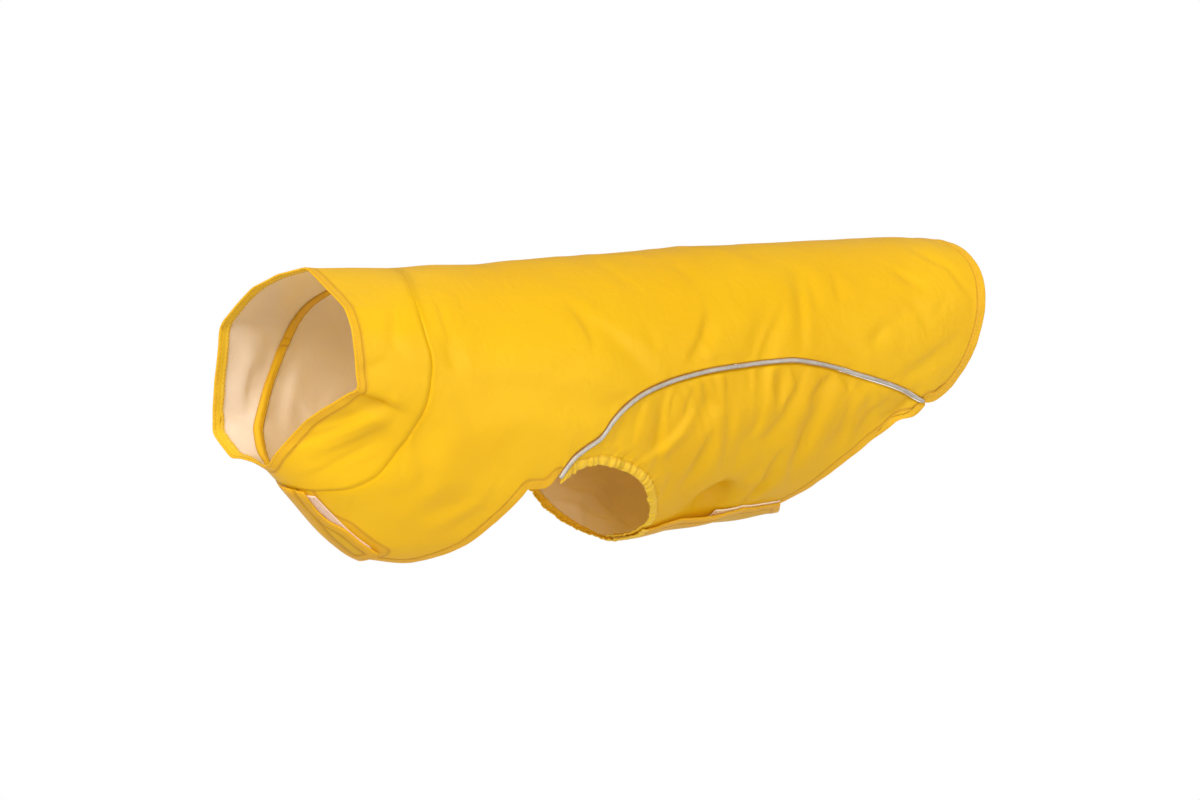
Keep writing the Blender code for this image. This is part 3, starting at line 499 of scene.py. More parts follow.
def half_section(station):
    """Round half of each station's section: how far down, how far out, and the girth."""
    widest = section_value("widest", station)[:, None]
    height = np.hypot(section_value("bottom_x", station) - station,
                      section_value("bottom_z", station) - section_value("top_z", station))
    turn = np.linspace(0, math.pi, SECTION_STEPS + 1)[None, :]
    power = np.where(turn <= math.pi / 2, section_value("top_power", station)[:, None],
                     section_value("bottom_power", station)[:, None])
    out = section_value("half_width", station)[:, None] * np.abs(np.sin(turn)) ** (2 / power)
    fall = np.abs(np.cos(turn)) ** (2 / power)
    down = np.where(turn <= math.pi / 2, widest * (1 - fall), widest + (1 - widest) * fall)
    steps = np.hypot(np.diff(down * height[:, None], axis=1), np.diff(out, axis=1))
    girth = np.concatenate([np.zeros((len(station), 1)), np.cumsum(steps, axis=1)], axis=1)
    return down, out, girth


def plain_cloth(station, share):
    """Points of the surface before any fold."""
    station, share = np.broadcast_arrays(np.asarray(station, float), np.asarray(share, float))
    shape = station.shape
    station = station.ravel()
    turn = (share.ravel() + 1) % 2 - 1
    down, out, girth = half_section(station)
    place = np.abs(turn) * girth[:, -1]
    row = np.arange(len(station))
    k = np.clip((girth <= place[:, None]).sum(axis=1) - 1, 0, SECTION_STEPS - 1)
    t = (place - girth[row, k]) / (girth[row, k + 1] - girth[row, k])
    down = down[row, k] * (1 - t) + down[row, k + 1] * t
    out = out[row, k] * (1 - t) + out[row, k + 1] * t
    top_z = section_value("top_z", station)
    x = station + (section_value("bottom_x", station) - station) * down
    z = top_z + (section_value("bottom_z", station) - top_z) * down
    return np.stack([x, np.where(turn < 0, -out, out), z], axis=-1).reshape(shape + (3,))


print("half girth at the withers:", round(half_section(np.zeros(1))[2][0, -1]), "mm")

# %% [markdown]
# ## Creased cloth
# Limp cloth is never even: it swells and dents a little everywhere, and more on
# the slack belly.  Each crease is then a valley with one steep wall, laid along
# its own line and faded at its ends.  Towards the tail the belly's creases wander
# and are broader in some places than in others.

# %% Unevenness and creases
NOISE_CELLS = 24               # the random lattice repeats after this many
WIDE_SWELL = (48.0, 0.6)       # how far apart the swells are, and how high
SMALL_SWELL = (21.0, 0.32)
DENTS = (30.0, 0.7)
BELLY_SWELL = (34.0, 1.8)      # the belly's cloth is slacker than the back's
BELLY_TOP = -90                # it starts at this Z
BELLY_FADE = 25
WANDER_FROM = 155.0            # behind this X its creases wander
WANDER_FADE = 40
CREASE_WANDER = (24.0, 0.9)    # how far apart their bends are, and how wide, in widths
CREASE_SPREAD = (38.0, 0.55)   # how far apart broad stretches are, and how much broader
SPREAD_LIMITS = (0.6, 1.7)
STEEP, EASY = 1.5, 0.8         # the two walls of a crease
SHOULDER = 0.25
SHOULDER_REACH = 2.6
CREASE_SIDES = 4               # a crease is felt this many widths beyond its ends
CREASE_BOW = 0.35
CREASE_FADE = 14.0             # creases fade out this far from the coat's middle
FROM_LIGHT = (-0.68, 0.73)     # where the key light comes from, in the side view
SHADED_WALL = 0.55             # a row gives the line of the crease's shaded wall
STEP = 0.5                     # for differences along the cloth
SHARE_STEP = 0.002             # and round it


def soft_noise(points, size, seed):
    """Smooth random heights between -1 and 1, in lumps of about this size."""
    lattice = np.random.default_rng(seed).uniform(-1, 1, (NOISE_CELLS,) * 3)
    place = points / size
    cell = np.floor(place).astype(int)
    t = smooth_step(place - cell)
    height = np.zeros(points.shape[:-1])
    for corner in np.ndindex(2, 2, 2):
        weight = np.prod(np.where(corner, t, 1 - t), axis=-1)
        i, j, k = np.moveaxis((cell + corner) % NOISE_CELLS, -1, 0)
        height += weight * lattice[i, j, k]
    return height

# %% Creases, and the surface with them
def crease_profile(across, steep_side):
    """A valley of depth 1 with one steep and one easy side, and slightly raised shoulders."""
    across = across * np.where(across * steep_side > 0, STEEP, EASY)
    return ((1 + SHOULDER) * np.exp(-across ** 2)
            - SHOULDER * np.exp(-(across / SHOULDER_REACH) ** 2))


def crease_height(points):
    """How far the creases and the cloth's own unevenness lift it at these points."""
    flat = points.reshape(-1, 3)
    height = (soft_noise(flat, WIDE_SWELL[0], 1) * WIDE_SWELL[1]
              + soft_noise(flat, SMALL_SWELL[0], 2) * SMALL_SWELL[1]
              - np.abs(soft_noise(flat, DENTS[0], 3)) * DENTS[1])
    slack = smooth_step((BELLY_TOP - flat[:, 2]) / BELLY_FADE)
    height += soft_noise(flat, BELLY_SWELL[0], 8) * BELLY_SWELL[1] * slack
    slack = slack * smooth_step((flat[:, 0] - WANDER_FROM) / WANDER_FADE)
    wander = soft_noise(flat, CREASE_WANDER[0], 9) * CREASE_WANDER[1] * slack
    spread = 1 + soft_noise(flat, CREASE_SPREAD[0], 10) * CREASE_SPREAD[1] * slack
    spread = spread.clip(*SPREAD_LIMITS)
    draw = np.random.default_rng(7)
    for row in ALL_CREASES:
        side, fx, fz, length, width, depth, lean = row
        turn = math.radians(lean)
        shaded = math.copysign(1, FROM_LIGHT[1] * math.cos(turn) - FROM_LIGHT[0] * math.sin(turn))
        shaded *= -math.copysign(1, depth)
        steep_side = shaded * draw.choice((-1, 1, 1, 1))
        bow = draw.uniform(-CREASE_BOW, CREASE_BOW)
        dx, dz = flat[:, 0] - fx, flat[:, 2] - fz
        near = np.flatnonzero((np.hypot(dx, dz) < length / 2 + CREASE_SIDES * width)
                              & (side * flat[:, 1] > 0))
        dx, dz = dx[near], dz[near]
        along = (dx * math.cos(turn) + dz * math.sin(turn)) / (length / 2)
        across = (dz * math.cos(turn) - dx * math.sin(turn)) / width
        across = (across + wander[near]) / spread[near]
        across = across + bow * along ** 2 * (length / width) ** 0.5 + SHADED_WALL * shaded
        reach = np.clip(1 - along ** 2, 0, None) ** 1.5
        fade = smooth_step(side * flat[near, 1] / CREASE_FADE)
        height[near] += depth * reach * crease_profile(across, steep_side) * fade
    return height.reshape(points.shape[:-1])


def cloth(station, share):
    """Points in the middle of the solid wall, creases and all."""
    station, share = np.broadcast_arrays(np.asarray(station, float), np.asarray(share, float))
    points = plain_cloth(station, share)
    along = plain_cloth(station + STEP, share) - plain_cloth(station - STEP, share)
    round_ = plain_cloth(station, share + SHARE_STEP) - plain_cloth(station, share - SHARE_STEP)
    lift = crease_height(points) + WALL / 2
    return points + unit(np.cross(along, round_)) * lift[..., None]


print("the withers lie at", cloth(0.0, 0.0).round(1))

# %% [markdown]
# ## Lines on the cloth
# Seams and hems are smooth lines through a few places.  A panel lies between two
# long lines and two short ones.  A line that runs beside another, such as the
# panel's edge beside the cord, is the first one moved along the cloth.

# %% Lines of places
HALF_GIRTH = 290.0             # a typical one, for measuring along lines
FINE = 16                      # steps of a line for each cell of the solids


def along_line(rows, cells):
    """Evenly spaced places on a smooth line through the rows, FINE for each cell."""
    rows = np.array(rows, float)
    flat = rows * (1.0, HALF_GIRTH)
    reach = np.concatenate([[0], np.cumsum(np.hypot(*np.diff(flat, axis=0).T))])
    fine = np.linspace(0, reach[-1], 2 * FINE * cells)
    curve = np.stack([smooth_column(fine, reach, flat[:, 0]),
                      smooth_column(fine, reach, flat[:, 1])], axis=1)
    walked = np.concatenate([[0], np.cumsum(np.hypot(*np.diff(curve, axis=0).T))])
    stops = np.linspace(0, walked[-1], FINE * cells + 1)
    places = np.stack([np.interp(stops, walked, curve[:, 0]),
                       np.interp(stops, walked, curve[:, 1])], axis=1)
    return places / (1.0, HALF_GIRTH)


def at(line, cells):
    """The places of a line at these numbers of cells along it."""
    index = np.arange(len(line)) / FINE
    return np.stack([np.interp(cells, index, line[:, 0]), np.interp(cells, index, line[:, 1])],
                    axis=1)


def join(*lines):
    return np.concatenate([lines[0]] + [piece[1:] for piece in lines[1:]])


def shifted(places, distance, side):
    """A line on this side moved along the cloth: one to the tail up, one down rearwards."""
    station, share = places[:, 0], side * places[:, 1]
    points = cloth(station, share)
    by_station = (cloth(station + STEP, share) - points) / STEP
    by_share = (cloth(station, share + side * STEP / HALF_GIRTH) - points) / STEP
    normals = unit(np.cross(by_station, side * by_share))
    reach = np.broadcast_to(distance, len(places))[:, None]
    target = np.cross(unit(np.gradient(points, axis=0)), normals) * reach * side
    moved = places.copy()
    for k in range(len(places)):
        basis = np.stack([by_station[k], by_share[k]], axis=1)
        change = np.linalg.lstsq(basis, target[k], rcond=None)[0]
        moved[k] += change / (1.0, HALF_GIRTH)
    return moved


# %% Patches and the seams between them
END_REACH = 3                  # the power by which the shape of a patch's short ends fades
RING_CELLS = 18                # from the back line to the belly line
CLOSURE_CELLS = 5
CHEST_HEM_CELLS = 7
LEG_EDGE_CELLS = 2
PIPING_CELLS = 36
BELLY_CELLS = 14               # from the cord to the belly line
BACK_ROWS = CLOSURE_CELLS + CHEST_HEM_CELLS + LEG_EDGE_CELLS + PIPING_CELLS
CORD_END_CELLS = 0.6           # the cord ends this far before the seam does
CLOSED_ROOM = 0.1              # of the cord's room, left where the two edges meet


def patch(first, last, start, end, t, w):
    """Places between two long lines that also keep to the two short ones."""
    t = np.asarray(t)[:, None, None]
    w = np.asarray(w)[None, :, None]
    first, last = first[:, None], last[:, None]
    start, end = start[None], end[None]
    between = (1 - w) * first + w * last
    at_start = start - (1 - w) * start[:, :1] - w * start[:, -1:]
    at_end = end - (1 - w) * end[:, :1] - w * end[:, -1:]
    return between + (1 - t) ** END_REACH * at_start + t ** END_REACH * at_end


def seam_station(share):
    """The collar seam's station at each share."""
    left = np.array(LEFT_COLLAR_SEAM, float).T
    right = np.array(RIGHT_COLLAR_SEAM, float).T
    turn = (np.asarray(share, float) + 1) % 2 - 1
    return np.where(turn < 0, smooth_column(-turn, left[1], left[0]),
                    smooth_column(turn, right[1], right[0]))


def piping_places():
    return along_line(PIPING_LINE, PIPING_CELLS)


def beside_cord(side, way):
    """The cloth's edge above the cord (way 1) or below it (way -1); they meet behind its end."""
    places = piping_places()
    to_end = (len(places) - 1 - np.arange(len(places))) / FINE
    opened = smooth_step(to_end / CORD_END_CELLS)
    room = PIPING_ROOM * (CLOSED_ROOM + (1 - CLOSED_ROOM) * opened)
    return shifted(places, way * room, side)


print(len(piping_places()), "places along the cord's seam")

# %% [markdown]
# ## A shell of cloth
# Each piece is closed cloth half a millimetre thick: an outer sheet, an inner
# sheet and a rounded rim.  A Solidify modifier could do it, but building the two
# sheets here lets the outside be glossy yellow, the inside be the pale coating,
# and a turned hem be a little thicker.  Every point keeps its distance from the
# free edge, for the hems' finish, their small puckers and their stitches.

# %% Making shells
CLOTH = 0.5
HEM_WIDTH = 8.3
HEM_RAGGED = 0.9               # how unevenly the hem was turned
HEM_STEP_WIDTH = 1.2
HEM_OUT = 0.35                 # a turned hem's layers stand out this much
HEM_IN = 0.45                  # and in this much
HEM_PUCKER = 0.42
HEM_PUCKER_SIZE = 8.0
HEM_PUCKER_REACH = 7.0
STITCH_TROUGH = 0.6
TROUGH_WIDTH = 0.8
HEM_STITCH = 7.0               # the hem's stitches lie this far from the edge
SHEETS = {}


def grid_cells(numbers):
    """The four corners of every cell of a grid of point numbers."""
    a, b = numbers[:-1, :-1], numbers[1:, :-1]
    c, d = numbers[1:, 1:], numbers[:-1, 1:]
    return np.stack([a, b, c, d], axis=-1).reshape(-1, 4)


def point_normals(points, cells):
    """Outward unit normals of a mesh of cells."""
    face = np.cross(points[cells[:, 2]] - points[cells[:, 0]],
                    points[cells[:, 3]] - points[cells[:, 1]])
    total = np.zeros_like(points)
    for corner in range(4):
        np.add.at(total, cells[:, corner], face)
    return unit(total)

# %% The free edge
def boundary(cells):
    """The directed edges that only one cell has."""
    edges = np.concatenate([cells[:, [k, (k + 1) % 4]] for k in range(4)])
    size = cells.max() + 1
    key = edges[:, 0] * size + edges[:, 1]
    back = edges[:, 1] * size + edges[:, 0]
    return edges[~np.isin(key, back)]


def distance_to(points, segments, step=0.4):
    """How far each point lies from the nearest of the segments."""
    a, b = segments[:, 0], segments[:, 1]
    count = np.maximum(np.ceil(np.linalg.norm(b - a, axis=1) / step).astype(int), 1)
    samples = np.concatenate([p + (q - p) * np.linspace(0, 1, n, endpoint=False)[:, None]
                              for p, q, n in zip(a, b, count)])
    tree = kdtree.KDTree(len(samples))
    for k, sample in enumerate(samples):
        tree.insert(sample, k)
    tree.balance()
    return np.array([tree.find(point)[2] for point in points])

# %% Puckers, and a mesh of the cloth
def hemmed(points, normals, reach):
    """The cloth near a free edge, pulled into small puckers by its row of stitches."""
    pucker = soft_noise(points, HEM_PUCKER_SIZE, 31) * HEM_PUCKER
    pucker = pucker * np.exp(-reach / HEM_PUCKER_REACH)
    trough = STITCH_TROUGH * np.exp(-((reach - HEM_STITCH) / TROUGH_WIDTH) ** 2)
    return points + normals * (pucker - trough)[:, None]


def add_mesh(name, verts, faces, finishes, kinds):
    """An object at the origin from points in millimetres and cells of four corners."""
    mesh = bpy.data.meshes.new(name)
    mesh.vertices.add(len(verts))
    mesh.vertices.foreach_set("co", (verts * MM).ravel())
    mesh.loops.add(faces.size)
    mesh.loops.foreach_set("vertex_index", faces.ravel())
    mesh.polygons.add(len(faces))
    mesh.polygons.foreach_set("loop_start", np.arange(0, faces.size, 4))
    for finish in finishes:
        mesh.materials.append(finish)
    mesh.polygons.foreach_set("material_index", np.minimum(kinds, len(finishes) - 1))
    mesh.update(calc_edges=True)
    mesh.shade_smooth()
    thing = bpy.data.objects.new(name, mesh)
    bpy.context.collection.objects.link(thing)
    return thing

# %% A closed shell
def with_rim(points, normals, outer, inner, cells, edges, thick):
    """Both sheets and a rounded rim: their points, faces, finishes and source points."""
    count = len(points)
    rim_dots = np.unique(edges)
    away = np.zeros_like(points)
    sideways = np.cross(points[edges[:, 1]] - points[edges[:, 0]],
                        normals[edges[:, 0]] + normals[edges[:, 1]])
    for corner in range(2):
        np.add.at(away, edges[:, corner], unit(sideways))
    rim = (outer[rim_dots] + inner[rim_dots]) / 2 + unit(away[rim_dots]) * thick / 2
    place = np.zeros(count, int)
    place[rim_dots] = 2 * count + np.arange(len(rim_dots))
    a, b = edges[:, 0], edges[:, 1]
    faces = np.concatenate([cells, cells[:, ::-1] + count,
                            np.stack([b, a, place[a], place[b]], axis=1),
                            np.stack([place[b], place[a], a + count, b + count], axis=1)])
    kinds = np.concatenate([np.zeros(len(cells), int), np.ones(len(cells), int),
                            np.zeros(2 * len(edges), int)])
    source = np.concatenate([np.arange(count), np.arange(count), rim_dots])
    return np.concatenate([outer, inner, rim]), faces, kinds, source


def shell(name, points, cells, uv, finishes, sewn=None, thick=CLOTH, hem=0.0, round_length=0.0,
          hem_scale=1.0):
    """A closed shell round the points, outer finish first, with its edge distances."""
    used, cells = np.unique(cells, return_inverse=True)
    cells = cells.reshape(-1, 4)
    hem_scale = np.broadcast_to(hem_scale, len(points))[used]
    points, uv = points[used], uv[used]
    edges = boundary(cells)
    free = edges
    if sewn is not None:
        sewn = sewn[used]
        free = edges[~(sewn[edges[:, 0]] & sewn[edges[:, 1]])]
    reach = distance_to(points, points[free]) / hem_scale
    normals = point_normals(points, cells)
    fold = 0.0
    if hem:
        points = hemmed(points, normals, reach)
        normals = point_normals(points, cells)
        fold = smooth_step((hem - reach) / HEM_STEP_WIDTH + 0.5)[:, None]
    outer = points + normals * (thick / 2 + fold * HEM_OUT)
    inner = points - normals * (thick / 2 + fold * HEM_IN)
    dots, faces, kinds, source = with_rim(points, normals, outer, inner, cells, edges, thick)
    thing = add_mesh(name, dots, faces, finishes, kinds)

    mesh = thing.data
    corners = uv[source[faces]]
    if round_length:
        torn = np.ptp(corners[..., 0], axis=1) > round_length / 2
        corners[..., 0] += (torn[:, None] & (corners[..., 0] < round_length / 2)) * round_length
    layer = mesh.uv_layers.new(name="cloth")
    layer.data.foreach_set("uv", (corners * MM).ravel())
    layer = mesh.attributes.new("edge", "FLOAT", "POINT")
    layer.data.foreach_set("value", (reach[source] * MM).astype(np.float32))
    SHEETS[name] = {"cells": cells, "points": points, "normals": normals, "free": free,
                    "outer": outer, "inner": inner}
    print(name, "has", 2 * len(faces), "triangles; one sheet of it is",
          round(area_of(points, cells), 4), "square metres")
    return thing

# %% The cloth's UV map and area
def cloth_uv(station, share):
    """The cloth's own UV map: millimetres along the coat and round it."""
    return np.stack([station, share * HALF_GIRTH], axis=-1).reshape(-1, 2)


def area_of(points, cells):
    """The area of one sheet, in square metres."""
    face = np.cross(points[cells[:, 2]] - points[cells[:, 0]],
                    points[cells[:, 3]] - points[cells[:, 1]])
    return np.linalg.norm(face, axis=1).sum() / 2 * MM * MM


# %% [markdown]
# ## Node helpers
# A finish here is a small tree of nodes: a colour that varies a little, a gloss
# that varies a little, and bumps for the crumples and the weave.  These helpers
# keep such trees short.

# %% Helpers for finishes
def node(tree, kind, inputs=(), **settings):
    """A new node; its settings come first, then its inputs, which may be links."""
    made = tree.nodes.new(kind)
    for name, value in settings.items():
        setattr(made, name, value)
    for name, value in dict(inputs).items():
        if isinstance(value, bpy.types.NodeSocket):
            tree.links.new(value, made.inputs[name])
        else:
            made.inputs[name].default_value = value
    return made


def maths(tree, operation, a, b=0.0):
    return node(tree, "ShaderNodeMath", {0: a, 1: b}, operation=operation).outputs[0]


def noise(tree, place, scale, detail=2.0, distortion=0.0):
    return node(tree, "ShaderNodeTexNoise", {"Vector": place, "Scale": scale, "Detail": detail,
                                             "Distortion": distortion}).outputs[0]


def blend(tree, share, first, second):
    """The first colour where share is 0 and the second where it is 1."""
    return node(tree, "ShaderNodeMix", {0: share, 6: first, 7: second},
                data_type="RGBA").outputs[2]


def between(tree, value, low, high, to_low, to_high):
    return node(tree, "ShaderNodeMapRange", {"Value": value, "From Min": low, "From Max": high,
                                             "To Min": to_low, "To Max": to_high}).outputs[0]


def bump(tree, height, strength, distance, normal=None):
    inputs = {"Height": height, "Strength": strength, "Distance": distance}
    if normal is not None:
        inputs["Normal"] = normal
    return node(tree, "ShaderNodeBump", inputs).outputs[0]


def attribute(tree, name):
    return node(tree, "ShaderNodeAttribute", attribute_name=name).outputs["Fac"]


def new_finish(name):
    """A new material: itself, its tree, its shader and the place on the object."""
    material = bpy.data.materials.new(name)
    material.use_nodes = True
    tree = material.node_tree
    place = node(tree, "ShaderNodeTexCoord").outputs["Object"]
    return material, tree, tree.nodes["Principled BSDF"], place


# %% [markdown]
# ## Coated nylon
# Raincoat nylon is a very fine plain weave, glossy on its right side and coated on
# its wrong side.  It is thin, so some light comes through it: that is a
# translucent shader mixed with the usual one.  Crumples too small to model are a
# ridged noise in the bump, and the weave is the product of two sine waves along
# the cloth's own UV map, which is in metres.

# %% The woven finishes
YELLOW = (0.95, 0.585, 0.002, 1)
DEEP_YELLOW = (0.92, 0.545, 0.001, 1)
# Painted shade: the hem band is darker, as its double layer lets less light through.
HEM_SHADE_YELLOW = (0.87, 0.515, 0.012, 1)
# Painted shade beside each row of stitches, for the shade of its small puckers.
STITCH_SHADE_YELLOW = (0.56, 0.27, 0.004, 1)
# Painted light: the turned hem inside is lighter than the outer yellow, to stand out in the
# shaded inside.
PAINTED_LIGHT_TURNED_YELLOW = (1.0, 0.69, 0.02, 1)
CREAM = (0.92, 0.91, 0.93, 1)
PEACH = (0.90, 0.85, 0.87, 1)
# Painted shade deeper inside the coat, where little light reaches.
INNER_SHADE_PEACH = (0.58, 0.33, 0.32, 1)
SHINE = 0.28                   # how strongly the right side mirrors, of a usual 0.5
THREAD_PITCH = 0.0003          # metres, as the UV map is
CRUMPLE_DEPTH = 0.0022
WEAVE_DEPTH = 0.00004
GLOSSIER, DULLER = 0.05, 0.07          # how far wear moves the gloss either way
FINER, FINE_SHARE = 3.4, 0.18          # the finest crumples, against the others
HEM_BLUR = 0.8                 # millimetres, as the two below
STITCH_SHADE_CORE = 0.2
SEAM_SHADE = 1.7               # the painted shade reaches this far beside a row of stitches
STITCH_SHADE_STRENGTH = 0.72
INNER_SHADE_FROM, INNER_SHADE_TO = 0.07, 0.16      # painted shade darkens the coating between these X, deeper inside the coat
INNER_SHADE_LEVEL, INNER_SHADE_LEAN = 0.18, 0.7    # at this depth, and sooner higher up
CASING_YELLOW = (0.86, 0.51, 0.012, 1)
CASING_PALE = (0.94, 0.62, 0.045, 1)

# %% Weave and crumples
def plain_weave(tree, pitch):
    """Heights of a plain weave: a bump where each thread passes over another."""
    uv = node(tree, "ShaderNodeUVMap", uv_map="cloth").outputs["UV"]
    split = node(tree, "ShaderNodeSeparateXYZ", {0: uv})
    waves = [maths(tree, "SINE", maths(tree, "MULTIPLY", split.outputs[n], math.pi / pitch))
             for n in (0, 1)]
    return maths(tree, "MULTIPLY", *waves)


def crumples(tree, place, size):
    """Heights of the small sharp crumples of limp cloth, about this many to the metre."""
    wide = noise(tree, place, size, 3.0, 0.7)
    ridge = maths(tree, "ABSOLUTE", maths(tree, "SUBTRACT", wide, 0.5))
    fine = maths(tree, "MULTIPLY", noise(tree, place, size * FINER, 1.0), FINE_SHARE)
    return maths(tree, "ADD", ridge, fine)


def woven(name, paint, glow, through, gloss, crumple, pitch=THREAD_PITCH, size=48.0):
    """Woven cloth that lets this share of the light through, in the colour glow."""
    material, tree, shader, place = new_finish(name)
    shader.inputs["Specular IOR Level"].default_value = SHINE
    tree.links.new(paint(tree, place), shader.inputs["Base Color"])
    wear = noise(tree, place, 14.0, 3.0)
    tree.links.new(between(tree, wear, 0.3, 0.7, gloss - GLOSSIER, gloss + DULLER),
                   shader.inputs["Roughness"])
    relief = bump(tree, crumples(tree, place, size), crumple, CRUMPLE_DEPTH)
    relief = bump(tree, plain_weave(tree, pitch), 0.35, WEAVE_DEPTH, relief)
    tree.links.new(relief, shader.inputs["Normal"])
    if through:
        light = node(tree, "ShaderNodeBsdfTranslucent", {"Color": glow})
        both = node(tree, "ShaderNodeMixShader", {0: through, 1: shader.outputs[0],
                                                  2: light.outputs[0]})
        tree.links.new(both.outputs[0], tree.nodes["Material Output"].inputs["Surface"])
    return material

# %% Yellow nylon and its coating
def yellow(tree, place):
    plain = blend(tree, between(tree, noise(tree, place, 9.0, 2.0), 0.35, 0.65, 0.0, 1.0),
                  YELLOW, DEEP_YELLOW)
    edge = attribute(tree, "edge")
    # Painted shade over the turned hem's double layer.
    folded = between(tree, edge, HEM_WIDTH * MM, (HEM_WIDTH + HEM_BLUR) * MM, 1.0, 0.0)
    from_seam = maths(tree, "ABSOLUTE", maths(tree, "SUBTRACT", edge, HEM_STITCH * MM))
    # Painted shade: a darker band beside the row of stitches stands in for the shade of its
    # puckers.
    pulled = between(tree, from_seam, STITCH_SHADE_CORE * MM, SEAM_SHADE * MM, STITCH_SHADE_STRENGTH, 0.0)
    return blend(tree, pulled, blend(tree, folded, plain, HEM_SHADE_YELLOW), STITCH_SHADE_YELLOW)


def speckled(scale, first, second):
    """A paint of small specks in two colours, about this many to the metre."""
    def paint(tree, place):
        return blend(tree, noise(tree, place, scale, 2.0), first, second)
    return paint


def pale_with_turned_hem(tree, place):
    """Cream coating, painted browner deeper inside the coat as painted shade, and the yellow
    right side where a hem is turned in, painted lighter as painted light.
    """
    pale = blend(tree, between(tree, noise(tree, place, 11.0, 3.0, 0.4), 0.3, 0.7, 0.0, 1.0),
                 CREAM, PEACH)
    # Painted shade: the coating is painted browner deeper inside the coat.
    split = node(tree, "ShaderNodeSeparateXYZ", {0: place})
    height = maths(tree, "ADD", split.outputs[2], INNER_SHADE_LEVEL)
    slant = maths(tree, "MULTIPLY", height, INNER_SHADE_LEAN)
    rearward = maths(tree, "ADD", split.outputs[0], slant)
    inner_shade = between(tree, rearward, INNER_SHADE_FROM, INNER_SHADE_TO, 0.0, 1.0)
    pale = blend(tree, inner_shade, pale, INNER_SHADE_PEACH)
    ragged = between(tree, noise(tree, place, 160.0, 2.0), 0.3, 0.7,
                     (HEM_WIDTH - HEM_RAGGED) * MM, (HEM_WIDTH + HEM_RAGGED) * MM)
    hem = maths(tree, "LESS_THAN", attribute(tree, "edge"), ragged)
    # Painted light on the turned hem, which lies in the shaded inside.
    return blend(tree, hem, pale, PAINTED_LIGHT_TURNED_YELLOW)


NYLON = woven("glossy_nylon", yellow, (1.0, 0.72, 0.09, 1), 0.40, 0.36, 0.45)
COATING = woven("pale_coating", pale_with_turned_hem, (0.97, 0.90, 0.93, 1), 0.56, 0.45, 0.40)
print("made", NYLON.name, "and", COATING.name)

# %% [markdown]
# ## Tape, casing, cord and loops
# The binding and the gathered casing are the same nylon, closer folded.  The cord
# is covered with grey reflective tape: tiny glass beads on a fine cloth, so it is
# a little metallic and grainy.  Loop tape is matt and fuzzy.

# %% Finishes of the trims
BINDING_YELLOW = (0.74, 0.43, 0.015, 1)
# Painted shade along the tape's edges, where it meets the cloth.
BINDING_EDGE_SHADE = (0.50, 0.25, 0.008, 1)
GREY = (0.50, 0.46, 0.405, 1)
DARK_GREY = (0.30, 0.27, 0.235, 1)
LOOP_PALE = (0.84, 0.62, 0.48, 1)
LOOP_DEEP = (0.70, 0.46, 0.33, 1)
CREAM_LOOPS = (0.93, 0.78, 0.58, 1)
CREAM_LOOPS_DEEP = (0.85, 0.66, 0.44, 1)
# The thread is the cloth's own yellow, painted darker as painted shade of its stitch holes.
SHADED_THREAD_DEEP = (0.60, 0.31, 0.008, 1)
SHADED_THREAD_PALE = (0.76, 0.44, 0.02, 1)
TWILL_PITCH = 0.0011
TWILL_THREADS = 9
BEAD_METAL = 0.25              # the beads mirror like a weak metal


def binding_paint(tree, place):
    # Painted shade: the tape is darker within a millimetre of its edges.
    rim = between(tree, attribute(tree, "edge"), 0.2 * MM, 1.0 * MM, 1.0, 0.0)
    return blend(tree, rim, BINDING_YELLOW, BINDING_EDGE_SHADE)

# %% Cord and thread
def make_cord_finish():
    """Reflective tape round the cord: beads in the grain, and a twill that winds round it."""
    material, tree, shader, place = new_finish("grey_reflective_tape")
    beads = noise(tree, place, 2600.0, 1.0)
    along = maths(tree, "MULTIPLY", attribute(tree, "along"), 2 * math.pi / TWILL_PITCH)
    round_ = maths(tree, "MULTIPLY", attribute(tree, "round"), 2 * math.pi * TWILL_THREADS)
    twill = maths(tree, "SINE", maths(tree, "ADD", along, round_))
    wear = between(tree, noise(tree, place, 120.0, 3.0), 0.35, 0.7, 0.0, 0.7)
    tree.links.new(blend(tree, wear, GREY, DARK_GREY), shader.inputs["Base Color"])
    tree.links.new(between(tree, beads, 0.3, 0.7, 0.32, 0.55), shader.inputs["Roughness"])
    shader.inputs["Metallic"].default_value = BEAD_METAL
    relief = bump(tree, twill, 0.4, 0.00010)
    relief = bump(tree, beads, 0.5, 0.00006, relief)
    tree.links.new(relief, shader.inputs["Normal"])
    return material


def make_thread_finish():
    material, tree, shader, place = new_finish("yellow_thread")
    fibres = noise(tree, place, 3500.0, 1.0)
    # Painted shade: the thread is darker than the cloth for the shade of its stitch holes.
    tree.links.new(blend(tree, fibres, SHADED_THREAD_DEEP, SHADED_THREAD_PALE), shader.inputs["Base Color"])
    shader.inputs["Roughness"].default_value = 0.5
    tree.links.new(bump(tree, fibres, 0.5, 0.00005), shader.inputs["Normal"])
    return material


CASING = woven("gathered_nylon", speckled(300.0, CASING_YELLOW, CASING_PALE),
               (1.0, 0.62, 0.05, 1), 0.15, 0.38, 0.55, size=110.0)
BINDING = woven("binding_tape", binding_paint, (1.0, 0.5, 0.05, 1), 0.0, 0.45, 0.2,
                pitch=0.0006)
LOOPS = woven("loop_tape", speckled(900.0, LOOP_DEEP, LOOP_PALE), (1, 1, 1, 1),
              0.0, 0.85, 0.2, pitch=0.0008)
BELLY_LOOPS = woven("cream_loop_tape", speckled(900.0, CREAM_LOOPS_DEEP, CREAM_LOOPS),
                    (1, 1, 1, 1), 0.0, 0.85, 0.2, pitch=0.0008)
CORD = make_cord_finish()
THREAD = make_thread_finish()
TRIMS = (CASING, BINDING, LOOPS, BELLY_LOOPS, CORD, THREAD)
print("made", ", ".join(finish.name for finish in TRIMS))

